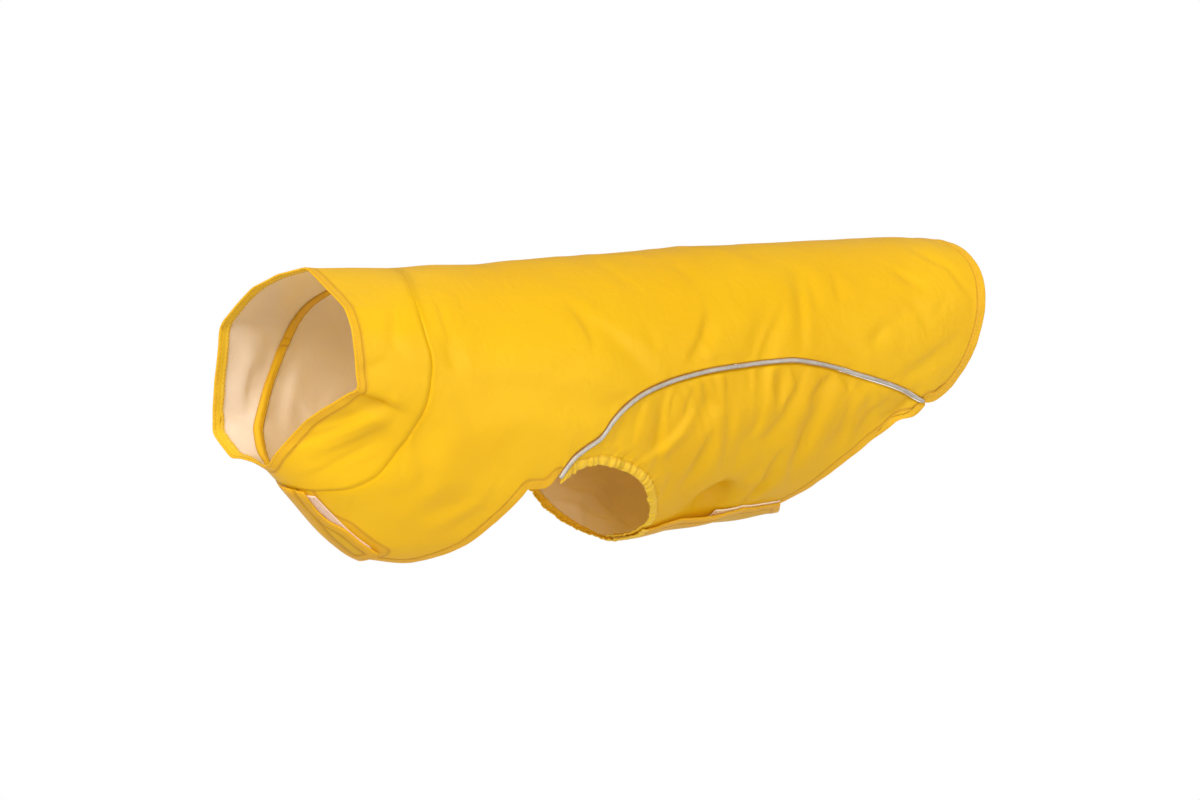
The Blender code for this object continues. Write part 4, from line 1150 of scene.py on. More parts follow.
# %% [markdown]
# ## Stitches that follow a line
# A hem has a stitch every three millimetres for half a metre.  Geometry Nodes turn
# a line into a curve, walk along it in even steps and put one small spindle of
# thread on each step, laid along the line and flat on the cloth.  The same tree
# serves every row.  The instances are made real at the end, and the result becomes
# a plain mesh.

# %% The tree for stitches
STITCH_PITCH = 3.1
STITCH_LENGTH = 2.7
THREAD_WIDTH = 0.42
THREAD_PROUD = 0.3             # of its width, that a thread stands out of the cloth


def new_tree(name, inputs):
    """An empty modifier tree with a geometry, these named inputs, and an output."""
    tree = bpy.data.node_groups.new(name, "GeometryNodeTree")
    tree.is_modifier = True
    tree.interface.new_socket("Geometry", in_out="INPUT", socket_type="NodeSocketGeometry")
    for label, kind in inputs.items():
        tree.interface.new_socket(label, in_out="INPUT", socket_type="NodeSocket" + kind)
    tree.interface.new_socket("Geometry", in_out="OUTPUT", socket_type="NodeSocketGeometry")
    return tree, tree.nodes.new("NodeGroupInput").outputs, tree.nodes.new("NodeGroupOutput")


def finished(tree, out, given, geometry):
    """Ends a tree: instances made real, smooth, with the given finish."""
    real = node(tree, "GeometryNodeRealizeInstances", {"Geometry": geometry})
    smooth = node(tree, "GeometryNodeSetShadeSmooth", {"Geometry": real.outputs[0]})
    painted = node(tree, "GeometryNodeSetMaterial", {"Geometry": smooth.outputs[0],
                                                     "Material": given["Finish"]})
    tree.links.new(painted.outputs[0], out.inputs[0])


def make_stitch_tree():
    tree, given, out = new_tree("row_of_stitches", {"Pitch": "Float", "Stitch length": "Float",
                                                    "Thread": "Float", "Seed": "Int",
                                                    "Finish": "Material"})
    line = node(tree, "GeometryNodeMeshToCurve", {"Mesh": given["Geometry"]})
    steps = node(tree, "GeometryNodeResampleCurve", {"Curve": line.outputs[0],
                                                     "Length": given["Pitch"]}, mode="LENGTH")
    spindle = node(tree, "GeometryNodeMeshUVSphere", {"Segments": 6, "Rings": 4, "Radius": 0.5})
    along = node(tree, "GeometryNodeInputTangent")
    outwards = node(tree, "GeometryNodeInputNamedAttribute", {"Name": "out"},
                    data_type="FLOAT_VECTOR")
    laid = node(tree, "FunctionNodeAlignRotationToVector", {"Vector": along.outputs[0]}, axis="Z")
    flat = node(tree, "FunctionNodeAlignRotationToVector",
                {"Rotation": laid.outputs[0], "Vector": outwards.outputs[0]},
                axis="Y", pivot_axis="Z")
    vary = node(tree, "FunctionNodeRandomValue", {"Seed": given["Seed"]}, data_type="FLOAT")
    vary.inputs[2].default_value = 0.86
    vary.inputs[3].default_value = 1.08
    length = maths(tree, "MULTIPLY", given["Stitch length"], vary.outputs[1])
    thin = maths(tree, "MULTIPLY", given["Thread"], 0.8)
    size = node(tree, "ShaderNodeCombineXYZ", {0: given["Thread"], 1: thin, 2: length})
    row = node(tree, "GeometryNodeInstanceOnPoints",
               {"Points": steps.outputs[0], "Instance": spindle.outputs[0],
                "Rotation": flat.outputs[0], "Scale": size.outputs[0]})
    finished(tree, out, given, row.outputs[0])
    return tree


STITCH_TREE = make_stitch_tree()
print(STITCH_TREE.name, "has", len(STITCH_TREE.nodes), "nodes")

# %% Growing a tree on a mesh
def grown(thing, tree, values):
    """The object with a node tree's result as its own plain mesh."""
    modifier = thing.modifiers.new(tree.name, "NODES")
    modifier.node_group = tree
    for item in tree.interface.items_tree:
        if item.in_out == "INPUT" and item.name in values:
            modifier[item.identifier] = values[item.name]
    ready = thing.evaluated_get(bpy.context.evaluated_depsgraph_get())
    mesh = bpy.data.meshes.new_from_object(ready)
    thing.modifiers.clear()
    thing.data = mesh
    print(thing.name, "has", sum(len(p.vertices) - 2 for p in mesh.polygons), "triangles")
    return thing


def add_lines(name, paths):
    """A mesh of lines through the paths' points, which keep their way out of the cloth."""
    points = np.concatenate([path[0] for path in paths])
    outwards = np.concatenate([path[1] for path in paths])
    edges = []
    start = 0
    for path in paths:
        count = len(path[0])
        edges += [(start + k, start + k + 1) for k in range(count - 1)]
        start += count
    mesh = bpy.data.meshes.new(name)
    mesh.from_pydata((points * MM).tolist(), edges, [])
    layer = mesh.attributes.new("out", "FLOAT_VECTOR", "POINT")
    layer.data.foreach_set("vector", outwards.ravel())
    thing = bpy.data.objects.new(name, mesh)
    bpy.context.collection.objects.link(thing)
    return thing


def stitched(name, paths, seed):
    """Rows of stitches along the paths."""
    values = {"Pitch": STITCH_PITCH * MM, "Stitch length": STITCH_LENGTH * MM,
              "Thread": THREAD_WIDTH * MM, "Seed": seed, "Finish": THREAD}
    return grown(add_lines(name, paths), STITCH_TREE, values)


# %% [markdown]
# ## Lines along the hems
# A seamstress keeps the presser foot's edge on the fold, so a row of stitches
# runs at one distance from the free edge and turns with it.  Each free edge is
# moved inwards over the cloth by that distance and then put on the nearest point
# of the outer or inner sheet.

# %% Lines for stitches
PATH_STEP = 1.0
KEPT_AWAY = 0.95               # of its distance, that a line keeps from every free edge
FEWEST_STEPS = 4


def laid_on(places, ways):
    """A line of thread that lies on the cloth, with its way out."""
    return places + ways * THREAD_WIDTH * THREAD_PROUD, ways


def chained(edges):
    """Directed edges as chains of point numbers."""
    after = dict(edges.tolist())
    ends = set(after.values())
    starts = sorted(dot for dot in after if dot not in ends)
    chains = []
    while after:
        chain = [starts.pop(0) if starts else min(after)]
        while chain[-1] in after:
            chain.append(after.pop(chain[-1]))
        chains.append(chain)
    return chains


def even_steps(line, values, step):
    """Points and their values at even steps along a line of points."""
    reach = np.concatenate([[0], np.cumsum(np.linalg.norm(np.diff(line, axis=0), axis=1))])
    stops = np.linspace(0, reach[-1], int(reach[-1] / step) + 2)
    return [np.stack([np.interp(stops, reach, column) for column in table.T], axis=1)
            for table in (line, values)]


def hem_lines(name, distance, inside=False, where=None):
    """Lines this far from a piece's free edges, each with its points and their way out."""
    sheet = SHEETS[name]
    skin = sheet["inner"] if inside else sheet["outer"]
    cells = sheet["cells"][:, ::-1] if inside else sheet["cells"]
    tree = BVHTree.FromPolygons(skin.tolist(), cells.tolist())
    free = sheet["points"][sheet["free"]]
    lines = []
    for chain in chained(sheet["free"]):
        edge, normals = even_steps(sheet["points"][chain], sheet["normals"][chain], PATH_STEP)
        inward = unit(np.cross(normals, unit(np.gradient(edge, axis=0))))
        moved = edge + inward * distance
        keep = distance_to(moved, free) > KEPT_AWAY * distance
        if where is not None:
            keep &= where(moved)
        hits = [tree.find_nearest(point) for point in moved]
        places = np.array([hit[0] for hit in hits])
        ways = np.array([hit[1] for hit in hits])
        stops = np.flatnonzero(np.diff(np.concatenate([[False], keep, [False]]).astype(int)))
        for first, last in zip(stops[::2], stops[1::2]):
            if last - first > FEWEST_STEPS:
                lines.append(laid_on(places[first:last], ways[first:last]))
    return lines


# %% [markdown]
# ## The back panel
# One large piece: it covers the back and comes down in front of the legs to close
# under the chest.  It is a patch between the back line, the lower edge, the collar
# seam and the tail hem, bent over the sections.  Its right side rises under the
# chest to lap over the left one.

# %% Places of the back panel
RIDGE_LAG = 1.25               # above 1, a row starts further forward than it ends
# How far from a free edge the cloth's closest rows and columns lie.
NEAR_EDGE = np.array((0.5, 1.3, 2.6, 4.0, 5.2, 6.0, 6.5, 7.0, 7.5, 8.1, 8.8, 9.6, 10.8))


def dense(first, last, steps, near_first=(), near_last=()):
    """Numbers of cells from first to last, with more near the ends."""
    even = np.linspace(first, last, int(round((last - first) * steps)) + 1)
    near_first, near_last = np.array(near_first), np.array(near_last)
    if len(near_first):
        even = even[(even > first + near_first.max()) | (even == first)]
    if len(near_last):
        even = even[(even < last - near_last.max()) | (even == last)]
    return np.unique(np.concatenate([even, first + near_first, last - near_last]).round(6))


def with_ends(cells, last):
    """These numbers of cells between the two ends of a whole line."""
    return np.concatenate([[0], cells, [last]])


def uneven(place, spacing, seed):
    """A smooth line between -1 and 1 that goes up and down unevenly."""
    steps = np.asarray(place, float) / spacing
    steps = steps - steps.min()
    knots = np.random.default_rng(seed).uniform(-1, 1, int(steps.max()) + 2)
    k = steps.astype(int)
    t = smooth_step(steps - k)
    return knots[k] * (1 - t) + knots[k + 1] * t


def back_edge(side):
    """The back panel's lower edge: closure, chest hem, leg edge and piping seam."""
    closure = along_line((LEFT_COLLAR_SEAM[-1], CHEST_HEM[0]), CLOSURE_CELLS)
    hem = along_line(CHEST_HEM, CHEST_HEM_CELLS)
    seam = beside_cord(side, 1)
    leg = along_line(LEG_EDGE + (tuple(seam[0]),), LEG_EDGE_CELLS)
    return join(closure, hem, leg, seam)


def back_places(side, rows, cols):
    """Places of half the back panel at these numbers of cells, shares above 0."""
    rows, cols = with_ends(rows, BACK_ROWS), with_ends(cols, RING_CELLS)
    edge = back_edge(side)
    share = cols / RING_CELLS
    front = np.stack([seam_station(side * share), share], axis=1)
    front[-1] = edge[0]
    rear = along_line(BACK_HEM[:0:-1] + (tuple(edge[-1]),), RING_CELLS)
    edge = at(edge, rows)
    reach = ((edge[:, 0] - edge[0, 0]) / (edge[-1, 0] - edge[0, 0])) ** RIDGE_LAG
    ridge = np.stack([front[0, 0] + reach * (rear[0, 0] - front[0, 0]), np.zeros(len(rows))],
                     axis=1)
    return patch(ridge, edge, front, at(rear, cols), rows / BACK_ROWS, share)[1:-1, 1:-1]


print("the lower edge has", len(back_edge(LEFT)), "places")


# %% The back panel's cloth
SEAM_DIP = 0.95                # a seam's valley
SEAM_DIP_TOP = 0.12            # it is pulled flatter over the back
SEAM_DIP_WIDTH = 1.8
SEAM_DIP_FROM, SEAM_DIP_OVER = 0.24, 0.16      # the shares where it grows deeper
TAIL_FROM = 60.0               # the hem behind this X is wider and has two rows of stitches
TAIL_HEM_SCALE = 1.22
CORD_DIP = 1.8                 # the cloth turns down beside the cord
CORD_DIP_WIDTH = 1.3
CHEST_LAP = 1
LAP_NARROW = 0.14              # the lap's edge draws back from the tape near the neck
LAP_NARROW_ROW, LAP_NARROW_REACH = 1.1, 0.7
LAP_WIDE = 0.34                # and covers it farther down
LAP_WIDE_ROW, LAP_WIDE_REACH = 1.7, 0.9
ROW_LENGTH = 10.9              # typical lengths of one cell, for fading things out
COL_LENGTH = 16.1
PUCKER_REACH = 12.0
PULL_HEIGHT = 0.6              # how far the seams pull the back cloth up and down
CORD_CLEAR = 3.0               # puckers start this far from the cord


def behind(points):
    return points[:, 0] > TAIL_FROM


def dip(distance, depth, width):
    return -depth * np.exp(-(distance / width) ** 2)


def seam_dip(distance, share):
    """The neck seam's valley, shallow over the back and deeper down the sides."""
    turn = np.abs((share + 1) % 2 - 1)
    down = smooth_step((turn - SEAM_DIP_FROM) / SEAM_DIP_OVER)
    depth = SEAM_DIP_TOP + (SEAM_DIP - SEAM_DIP_TOP) * down
    return dip(distance, depth, SEAM_DIP_WIDTH)


def lapped(col, row, first, rows_closed):
    """How far the right side has risen to lie over the left one."""
    return LAP_LIFT * smooth_step((col - first) / 2) * (1 - smooth_step((row - rows_closed) / 2))


def raised(points, cells, lift):
    """The points moved out along the normals of their mesh."""
    return points + point_normals(points, cells) * lift.reshape(-1, 1)

# %% The back panel as one shell
def make_back_panel():
    rows = dense(0, BACK_ROWS, 4, (0.04, 0.09, 0.16), NEAR_EDGE / ROW_LENGTH)
    cols = dense(0, RING_CELLS, 5, (), NEAR_EDGE / COL_LENGTH)
    lap = dense(0, CHEST_LAP, 5, (), NEAR_EDGE / COL_LENGTH)[1:]
    left = back_places(LEFT, rows, cols)
    right = back_places(RIGHT, rows, cols)
    under = back_places(LEFT, rows, RING_CELLS - lap)
    over = (1 - LAP_NARROW * np.exp(-((rows - LAP_NARROW_ROW) / LAP_NARROW_REACH) ** 2)
            + LAP_WIDE * smooth_step((rows - LAP_WIDE_ROW) / LAP_WIDE_REACH))
    under[..., 1] = 1 - (1 - under[..., 1]) * over[:, None]
    station = np.concatenate([left[:, :0:-1, 0], right[..., 0], under[..., 0]], axis=1)
    share = np.concatenate([-left[:, :0:-1, 1], right[..., 1], 2 - under[..., 1]], axis=1)
    col = np.concatenate([-cols[:0:-1], cols, RING_CELLS + lap])[None, :]
    row = rows[:, None]

    numbers = np.arange(station.size).reshape(station.shape)
    main = numbers[:, :len(cols) * 2 - 1]
    closed = numbers[rows <= CLOSURE_CELLS, len(cols) * 2 - 2:]
    cells = np.concatenate([grid_cells(main), grid_cells(closed)])

    cord_rows = smooth_step((row - BACK_ROWS + PIPING_CELLS) * 2 + 1)
    from_cord = (RING_CELLS - np.abs(col)).clip(0) * COL_LENGTH
    pull = (uneven(row + 0 * col, 0.5, 3) * PULL_HEIGHT
            + uneven(row + 0 * col, 1.3, 4) * PULL_HEIGHT)
    lift = (lapped(col, row, RING_CELLS - 2, CLOSURE_CELLS)
            + seam_dip(row * ROW_LENGTH, share)
            + dip(from_cord, CORD_DIP, CORD_DIP_WIDTH) * cord_rows
            + pull * np.exp(-from_cord / PUCKER_REACH) * cord_rows
            * (1 - np.exp(-from_cord / CORD_CLEAR)))
    points = raised(cloth(station, share).reshape(-1, 3), cells, lift)

    sewn = np.zeros(station.shape, bool)
    sewn[0] = True
    cord_row = rows >= BACK_ROWS - PIPING_CELLS
    sewn[cord_row, 0] = True
    sewn[cord_row, len(cols) * 2 - 2] = True
    uv = cloth_uv(station, share)
    return shell("back_panel_cloth", points, cells, uv, (NYLON, COATING), sewn.ravel(),
                 hem=HEM_WIDTH, hem_scale=np.where(behind(points), TAIL_HEM_SCALE, 1.0))


back_panel = make_back_panel()

# %% Stitches of the back panel
REAR_ROWS = (5.4 * TAIL_HEM_SCALE, HEM_STITCH * TAIL_HEM_SCALE)


def before(points):
    return ~behind(points)


back_lines = hem_lines("back_panel_cloth", HEM_STITCH, where=before)
back_lines += hem_lines("back_panel_cloth", HEM_STITCH, inside=True, where=before)
back_lines += hem_lines("back_panel_cloth", REAR_ROWS[1], inside=True, where=behind)
for distance in REAR_ROWS:
    back_lines += hem_lines("back_panel_cloth", distance, where=behind)
back_stitches = stitched("back_stitches", back_lines, 1)

# %% [markdown]
# ## The collar
# A stand collar is a ring between two lines: the seam on the back panel and its
# own free edge, which is deep over the nape and shallow at the throat.  Straight
# threads run from one line to the other, so the surface between them is ruled.
# Its near corner is pressed in, and a sharp crease runs from there to the seam.

# %% The collar's cloth
COLLAR_DEPTH = 75.0
COLLAR_ROWS = 40
COLLAR_COLUMNS_ROUND = 420
COLLAR_SEAM_ROWS = (0.007, 0.014)      # of the depth, for the seam's valley
CORNER_SOFTNESS = 0.02         # shares of the way round over which a corner is rounded
CORNER_SAMPLES = 15
TOP_CORNER = -0.35             # the near upper corner is rounder than the others
TOP_SOFTNESS = 0.05
TOP_REACH = 0.09
COLLAR_STEP = 0.01             # for differences, of the depth and of the share
COLLAR_CREASE_FADE = 0.6       # of the collar's depth


def collar_edge(share):
    """Points on the collar's free edge, its corners a little rounded."""
    edge = dict(zip(COLLAR_COLUMNS, np.array(COLLAR_EDGE, float).T))
    total = np.zeros(np.shape(share) + (3,))
    offsets = np.linspace(-1, 1, CORNER_SAMPLES)
    softness = CORNER_SOFTNESS + TOP_SOFTNESS * np.exp(-((share - TOP_CORNER) / TOP_REACH) ** 2)
    for offset in offsets:
        turn = (share + offset * softness + 1) % 2 - 1
        total += np.stack([np.interp(turn, edge["share"], edge[n]) for n in "xyz"], axis=-1)
    return total / len(offsets)


def ruled_collar(depth, share):
    """The collar before any crease: depth 0 on the seam and 1 on the free edge."""
    weight = np.asarray(depth, float)[..., None]
    return cloth(seam_station(share), share) * (1 - weight) + collar_edge(share) * weight


def collar_cloth(depth, share):
    """Points in the middle of the collar's solid wall, creases and all."""
    points = ruled_collar(depth, share)
    forward = (ruled_collar(depth + COLLAR_STEP, share)
               - ruled_collar(depth - COLLAR_STEP, share))
    round_ = ruled_collar(depth, share + COLLAR_STEP) - ruled_collar(depth, share - COLLAR_STEP)
    lift = crease_height(points) * smooth_step(depth / COLLAR_CREASE_FADE)
    return points + unit(np.cross(round_, forward)) * lift[..., None]

# %% The collar as one shell
def ring(rows):
    """Cells of a grid whose last column meets its first again."""
    return grid_cells(np.concatenate([rows, rows[:, :1]], axis=1))


def make_collar():
    depth = dense(0, 1, COLLAR_ROWS, COLLAR_SEAM_ROWS, NEAR_EDGE / COLLAR_DEPTH)[::-1]
    share = np.arange(COLLAR_COLUMNS_ROUND) * 2 / COLLAR_COLUMNS_ROUND - 1
    depth, share = np.meshgrid(depth, share, indexing="ij")
    cells = ring(np.arange(depth.size).reshape(depth.shape))
    lift = seam_dip(depth * COLLAR_DEPTH, share)
    points = raised(collar_cloth(depth, share).reshape(-1, 3), cells, lift)
    uv = np.stack([share * HALF_GIRTH, depth * COLLAR_DEPTH], axis=-1).reshape(-1, 2)
    return shell("collar_cloth", points, cells, uv, (NYLON, COATING), (depth == 0).ravel(),
                 hem=HEM_WIDTH, round_length=2 * HALF_GIRTH)


collar = make_collar()
EDGE_STITCH = 1.5
HEM_END = 0.37                 # the share where the turned hem's two ends lap
HEM_END_ROWS = 13              # rows of the collar that the turned hem covers
collar_lines = []
for distance in (EDGE_STITCH, HEM_STITCH):
    for inside in (False, True):
        collar_lines += hem_lines("collar_cloth", distance, inside)
collar_sheet = SHEETS["collar_cloth"]
hem_end = round((HEM_END + 1) / 2 * COLLAR_COLUMNS_ROUND)
way_in = -collar_sheet["normals"].reshape(-1, COLLAR_COLUMNS_ROUND, 3)[:HEM_END_ROWS, hem_end]
end_places = collar_sheet["inner"].reshape(-1, COLLAR_COLUMNS_ROUND, 3)[:HEM_END_ROWS, hem_end]
collar_lines.append(laid_on(end_places, way_in))
collar_stitches = stitched("collar_stitches", collar_lines, 2)

# %% [markdown]
# ## The binding tape inside the neck seam
# The raw edges of the neck seam are covered by a tape.  It is a strip across the
# seam on the inside, a little crowned over the layers that it hides.  Its two ends
# lap on the dog's right, as a tape that is sewn on in one go does.

# %% The tape
TAPE_WIDTH = 8.0
TAPE_SINK = 0.85
TAPE_CROWN = 0.35
TAPE_START = 0.425             # the share of the girth where its ends lap
TAPE_LAP = 0.022
TAPE_LAP_SINK = 0.5
TAPE_LAP_EDGE = 0.004
TAPE_WAVE = 0.12
TAPE_STEPS = 300


def make_binding():
    share = TAPE_START + np.linspace(0, 2 + TAPE_LAP, TAPE_STEPS)
    share = np.sort(np.append(share, TAPE_START + 2 + np.array((-TAPE_LAP_EDGE, 0.0))))
    station = seam_station(share)
    seam = cloth(station, share)
    half_width = TAPE_WIDTH / 2
    across = np.linspace(-1, 1, 9)
    lines = []
    for place in across:
        distance = abs(place) * half_width
        if place < 0:
            depth = distance / np.linalg.norm(collar_edge(share) - seam, axis=-1)
            lines.append(collar_cloth(depth, share))
        else:
            ahead = cloth(station + half_width, share)
            stretch = np.linalg.norm(ahead - seam, axis=-1) / half_width
            lines.append(cloth(station + distance / stretch, share))
    points = np.stack(lines)
    cells = grid_cells(np.arange(points[..., 0].size).reshape(points.shape[:2]))
    over = smooth_step((share - TAPE_START - 2) / TAPE_LAP_EDGE + 1)
    wavy = uneven(share, 0.012, 41) * TAPE_WAVE
    lift = -TAPE_SINK - TAPE_CROWN * (1 - across[:, None] ** 2) - over * TAPE_LAP_SINK + wavy
    points = raised(points.reshape(-1, 3), cells, lift)
    uv = np.stack(np.meshgrid(share * HALF_GIRTH, across * half_width), axis=-1)
    thing = shell("neck_binding", points, cells, uv.reshape(-1, 2), (BINDING,))
    sheet = SHEETS["neck_binding"]
    places = sheet["inner"].reshape(len(across), -1, 3)
    ways = -sheet["normals"].reshape(len(across), -1, 3)
    rows = [laid_on(places[k], ways[k]) for k in (1, -2)]
    return thing, rows


neck_binding, binding_lines = make_binding()
binding_stitches = stitched("binding_stitches", binding_lines, 3)

# %% [markdown]
# ## The belly panels
# Each belly panel is gathered on to the cord seam and on to the elastic of its leg
# opening, so it puckers there and smooths out towards the belly line.  The same
# patch as the back's lays it out, and unevenly spaced waves that fade away from
# the seams make the gathers.  The right panel goes on over the left one.

# %% Places of the belly panels
BELLY_LAP_CELLS = 3
LEG_LINE = {LEFT: LEFT_LEG_LINE, RIGHT: RIGHT_LEG_LINE}
BELLY_HEM = {LEFT: LEFT_BELLY_HEM, RIGHT: RIGHT_BELLY_HEM}
BELLY_ROWS = PIPING_CELLS - 1
BELLY_ROW = 10.9
BELLY_COL = 11.4
PUFF_LENGTH = 0.42             # of a cell
PUFF_HEIGHT = 2.3
PUFF_UNEVEN = 0.9
PUFF_SHARPNESS = 1.1
PUFF_MIDDLE = 0.6
PUFF_CALM, CALM_FROM = 0.75, 0.55              # they calm down towards the belly line
HOLLOW_STATION, HOLLOW_LENGTH = 189, 19.0      # a dent above the flap
HOLLOW_SHARE, HOLLOW_WIDTH = 0.818, 0.046
HOLLOW_DEPTH = 12.0
FLAP_OUT = 28.0                # the flap's rear corner reaches this much further back
FLAP_OUT_COLS = 6.0            # which fades out over these columns
FLAP_OUT_POWER = 6             # and towards the front
FLAP_SLOPE = 9.0
FLAP_BEND = 1.2
FLAP_GAPE = 3.0                # the flap's edge stands off above the hollow


@functools.cache
def leg_lines(side):
    """The piping seam's lower side, the open leg edge and the line sewn behind it."""
    seam = beside_cord(side, -1)
    leg = along_line(LEG_LINE[side], BELLY_CELLS)
    sewn = shifted(leg, LEG_BAND_WIDTH, side)
    first = seam[FINE]
    last = np.array((leg[-1, 0] + LEG_BAND_WIDTH, 1.0))
    along = np.arange(len(sewn))[:, None] / FINE
    sewn = (sewn + (first - sewn[0]) * (1 - along).clip(0)
            + (last - sewn[-1]) * (along - BELLY_CELLS + 1).clip(0))
    return seam, leg, sewn


def belly_places(side, rows, cols):
    """Places of a belly panel, rows from the leg to the hem, columns from the cord."""
    rows, cols = with_ends(rows, BELLY_ROWS), with_ends(cols, BELLY_CELLS)
    seam, _, front = leg_lines(side)
    hem = along_line((tuple(seam[-1]),) + BELLY_HEM[side], BELLY_CELLS)
    bottom = along_line((tuple(front[-1]), tuple(hem[-1])), BELLY_ROWS)
    return patch(at(seam[FINE:], rows), at(bottom, rows), at(front, cols), at(hem, cols),
                 rows / BELLY_ROWS, cols / BELLY_CELLS)[1:-1, 1:-1]


def over_left(col):
    """Columns past the belly line as the left side's own columns."""
    return 2 * BELLY_CELLS - col


def leg_wave(place, seed):
    """The uneven gathers of the elastic: plump puffs with sharp gaps between them."""
    phase = place / PUFF_LENGTH + uneven(place, 0.5, seed) * PUFF_UNEVEN
    puff = np.abs(np.sin(math.pi * phase)) ** PUFF_SHARPNESS
    tall = PUFF_HEIGHT * (0.7 + 0.4 * uneven(place, 0.7, seed + 1))
    calm = 1 - PUFF_CALM * smooth_step((place - CALM_FROM * BELLY_CELLS) / 3)
    return (puff - PUFF_MIDDLE) * tall * calm


def squared_end(row, col):
    """How far the flap's rear end is moved to stand square: out on the belly line, in beyond."""
    past = col - BELLY_CELLS
    lap = past.clip(0)
    out = (FLAP_OUT * np.exp(-(np.minimum(past, 0) / FLAP_OUT_COLS) ** 2) - FLAP_SLOPE * lap
           - FLAP_BEND * lap ** 2)
    return out * (row / BELLY_ROWS) ** FLAP_OUT_POWER


# %% The belly panels' cloth
GATHER_HEIGHT = 1.1
GATHER_REACH = 26.0
LEG_GATHER_REACH = 8.0
LEG_SEAM_DIP, LEG_SEAM_WIDTH = 0.6, 1.5


def make_belly_panel(side, name):
    rows = dense(0, BELLY_ROWS, 6, (0.05, 0.12), NEAR_EDGE / BELLY_ROW)
    cols = dense(0, BELLY_CELLS, 8, (0.03, 0.07, 0.13), NEAR_EDGE / BELLY_COL * (side == LEFT))
    places = belly_places(side, rows, cols)
    if side == RIGHT:
        lap = BELLY_CELLS + dense(0, BELLY_LAP_CELLS, 8, (), NEAR_EDGE / BELLY_COL)[1:]
        under = belly_places(LEFT, rows, over_left(lap))
        under[..., 1] = 2 - under[..., 1]
        places = np.concatenate([places, under], axis=1)
        cols = np.concatenate([cols, lap])
        places[..., 0] += squared_end(rows[:, None], cols[None, :])
    station, share = places[..., 0], side * places[..., 1]
    numbers = np.arange(station.size).reshape(station.shape)
    cells = grid_cells(numbers if side == RIGHT else numbers[:, ::-1])
    row, col = rows[:, None], cols[None, :]
    from_leg = row * BELLY_ROW
    from_cord = col * BELLY_COL
    along = row + 0 * col
    strength = 0.75 + 0.5 * uneven(along, 3.0, 17 + side)
    gathers = (uneven(along, 0.55, 11 + side) * GATHER_HEIGHT
               + uneven(along, 1.2, 15) * GATHER_HEIGHT)
    lift = (dip(from_cord, CORD_DIP, CORD_DIP_WIDTH)
            + gathers * strength * np.exp(-from_cord / GATHER_REACH)
            * (1 - np.exp(-from_cord / CORD_CLEAR))
            + leg_wave(col + 0 * row, 21 + side) * np.exp(-from_leg / LEG_GATHER_REACH)
            + dip(from_leg, LEG_SEAM_DIP, LEG_SEAM_WIDTH))
    from_hollow = (station - HOLLOW_STATION) / HOLLOW_LENGTH
    if side == RIGHT:
        lift = lift + lapped(col, 0 * row, BELLY_CELLS - 2, 1)
        lift = lift + (FLAP_GAPE * np.exp(-from_hollow ** 2)
                       * smooth_step((col - BELLY_CELLS) / BELLY_LAP_CELLS))
    else:
        away = np.hypot(from_hollow, (-share - HOLLOW_SHARE) / HOLLOW_WIDTH)
        lift = lift - HOLLOW_DEPTH * np.exp(-away ** 2)
    points = raised(cloth(station, share).reshape(-1, 3), cells, lift)
    sewn = np.zeros(station.shape, bool)
    sewn[:, 0] = True
    sewn[0] = True
    uv = cloth_uv(station, share)
    return shell(name, points, cells, uv, (NYLON, COATING), sewn.ravel(), hem=HEM_WIDTH)


belly_left = make_belly_panel(LEFT, "belly_cloth_left")
belly_right = make_belly_panel(RIGHT, "belly_cloth_right")

# %% Stitches of the belly panels
belly_stitches = {}
for side, name in ((LEFT, "belly_cloth_left"), (RIGHT, "belly_cloth_right")):
    lines = hem_lines(name, HEM_STITCH) + hem_lines(name, HEM_STITCH, inside=True)
    belly_stitches[side] = stitched(name.replace("cloth", "stitches"), lines, 4 + side)

# %% [markdown]
# ## The gathered leg casings
# A strip folded over a narrow elastic and stitched behind it.  The elastic draws
# it into short uneven waves across its width, the same waves that start the belly
# panel's gathers, and it is a little plump between its edges.

# %% The casings
BAND_PUFF = 0.8
BAND_SINK = 0.2
BAND_CRINKLE = 0.5
BAND_THICKNESS = 1.0
SCALLOP = 0.9                  # how far the opening's edge wanders
BAND_STITCH_ROW = 7            # of the rows across the casing


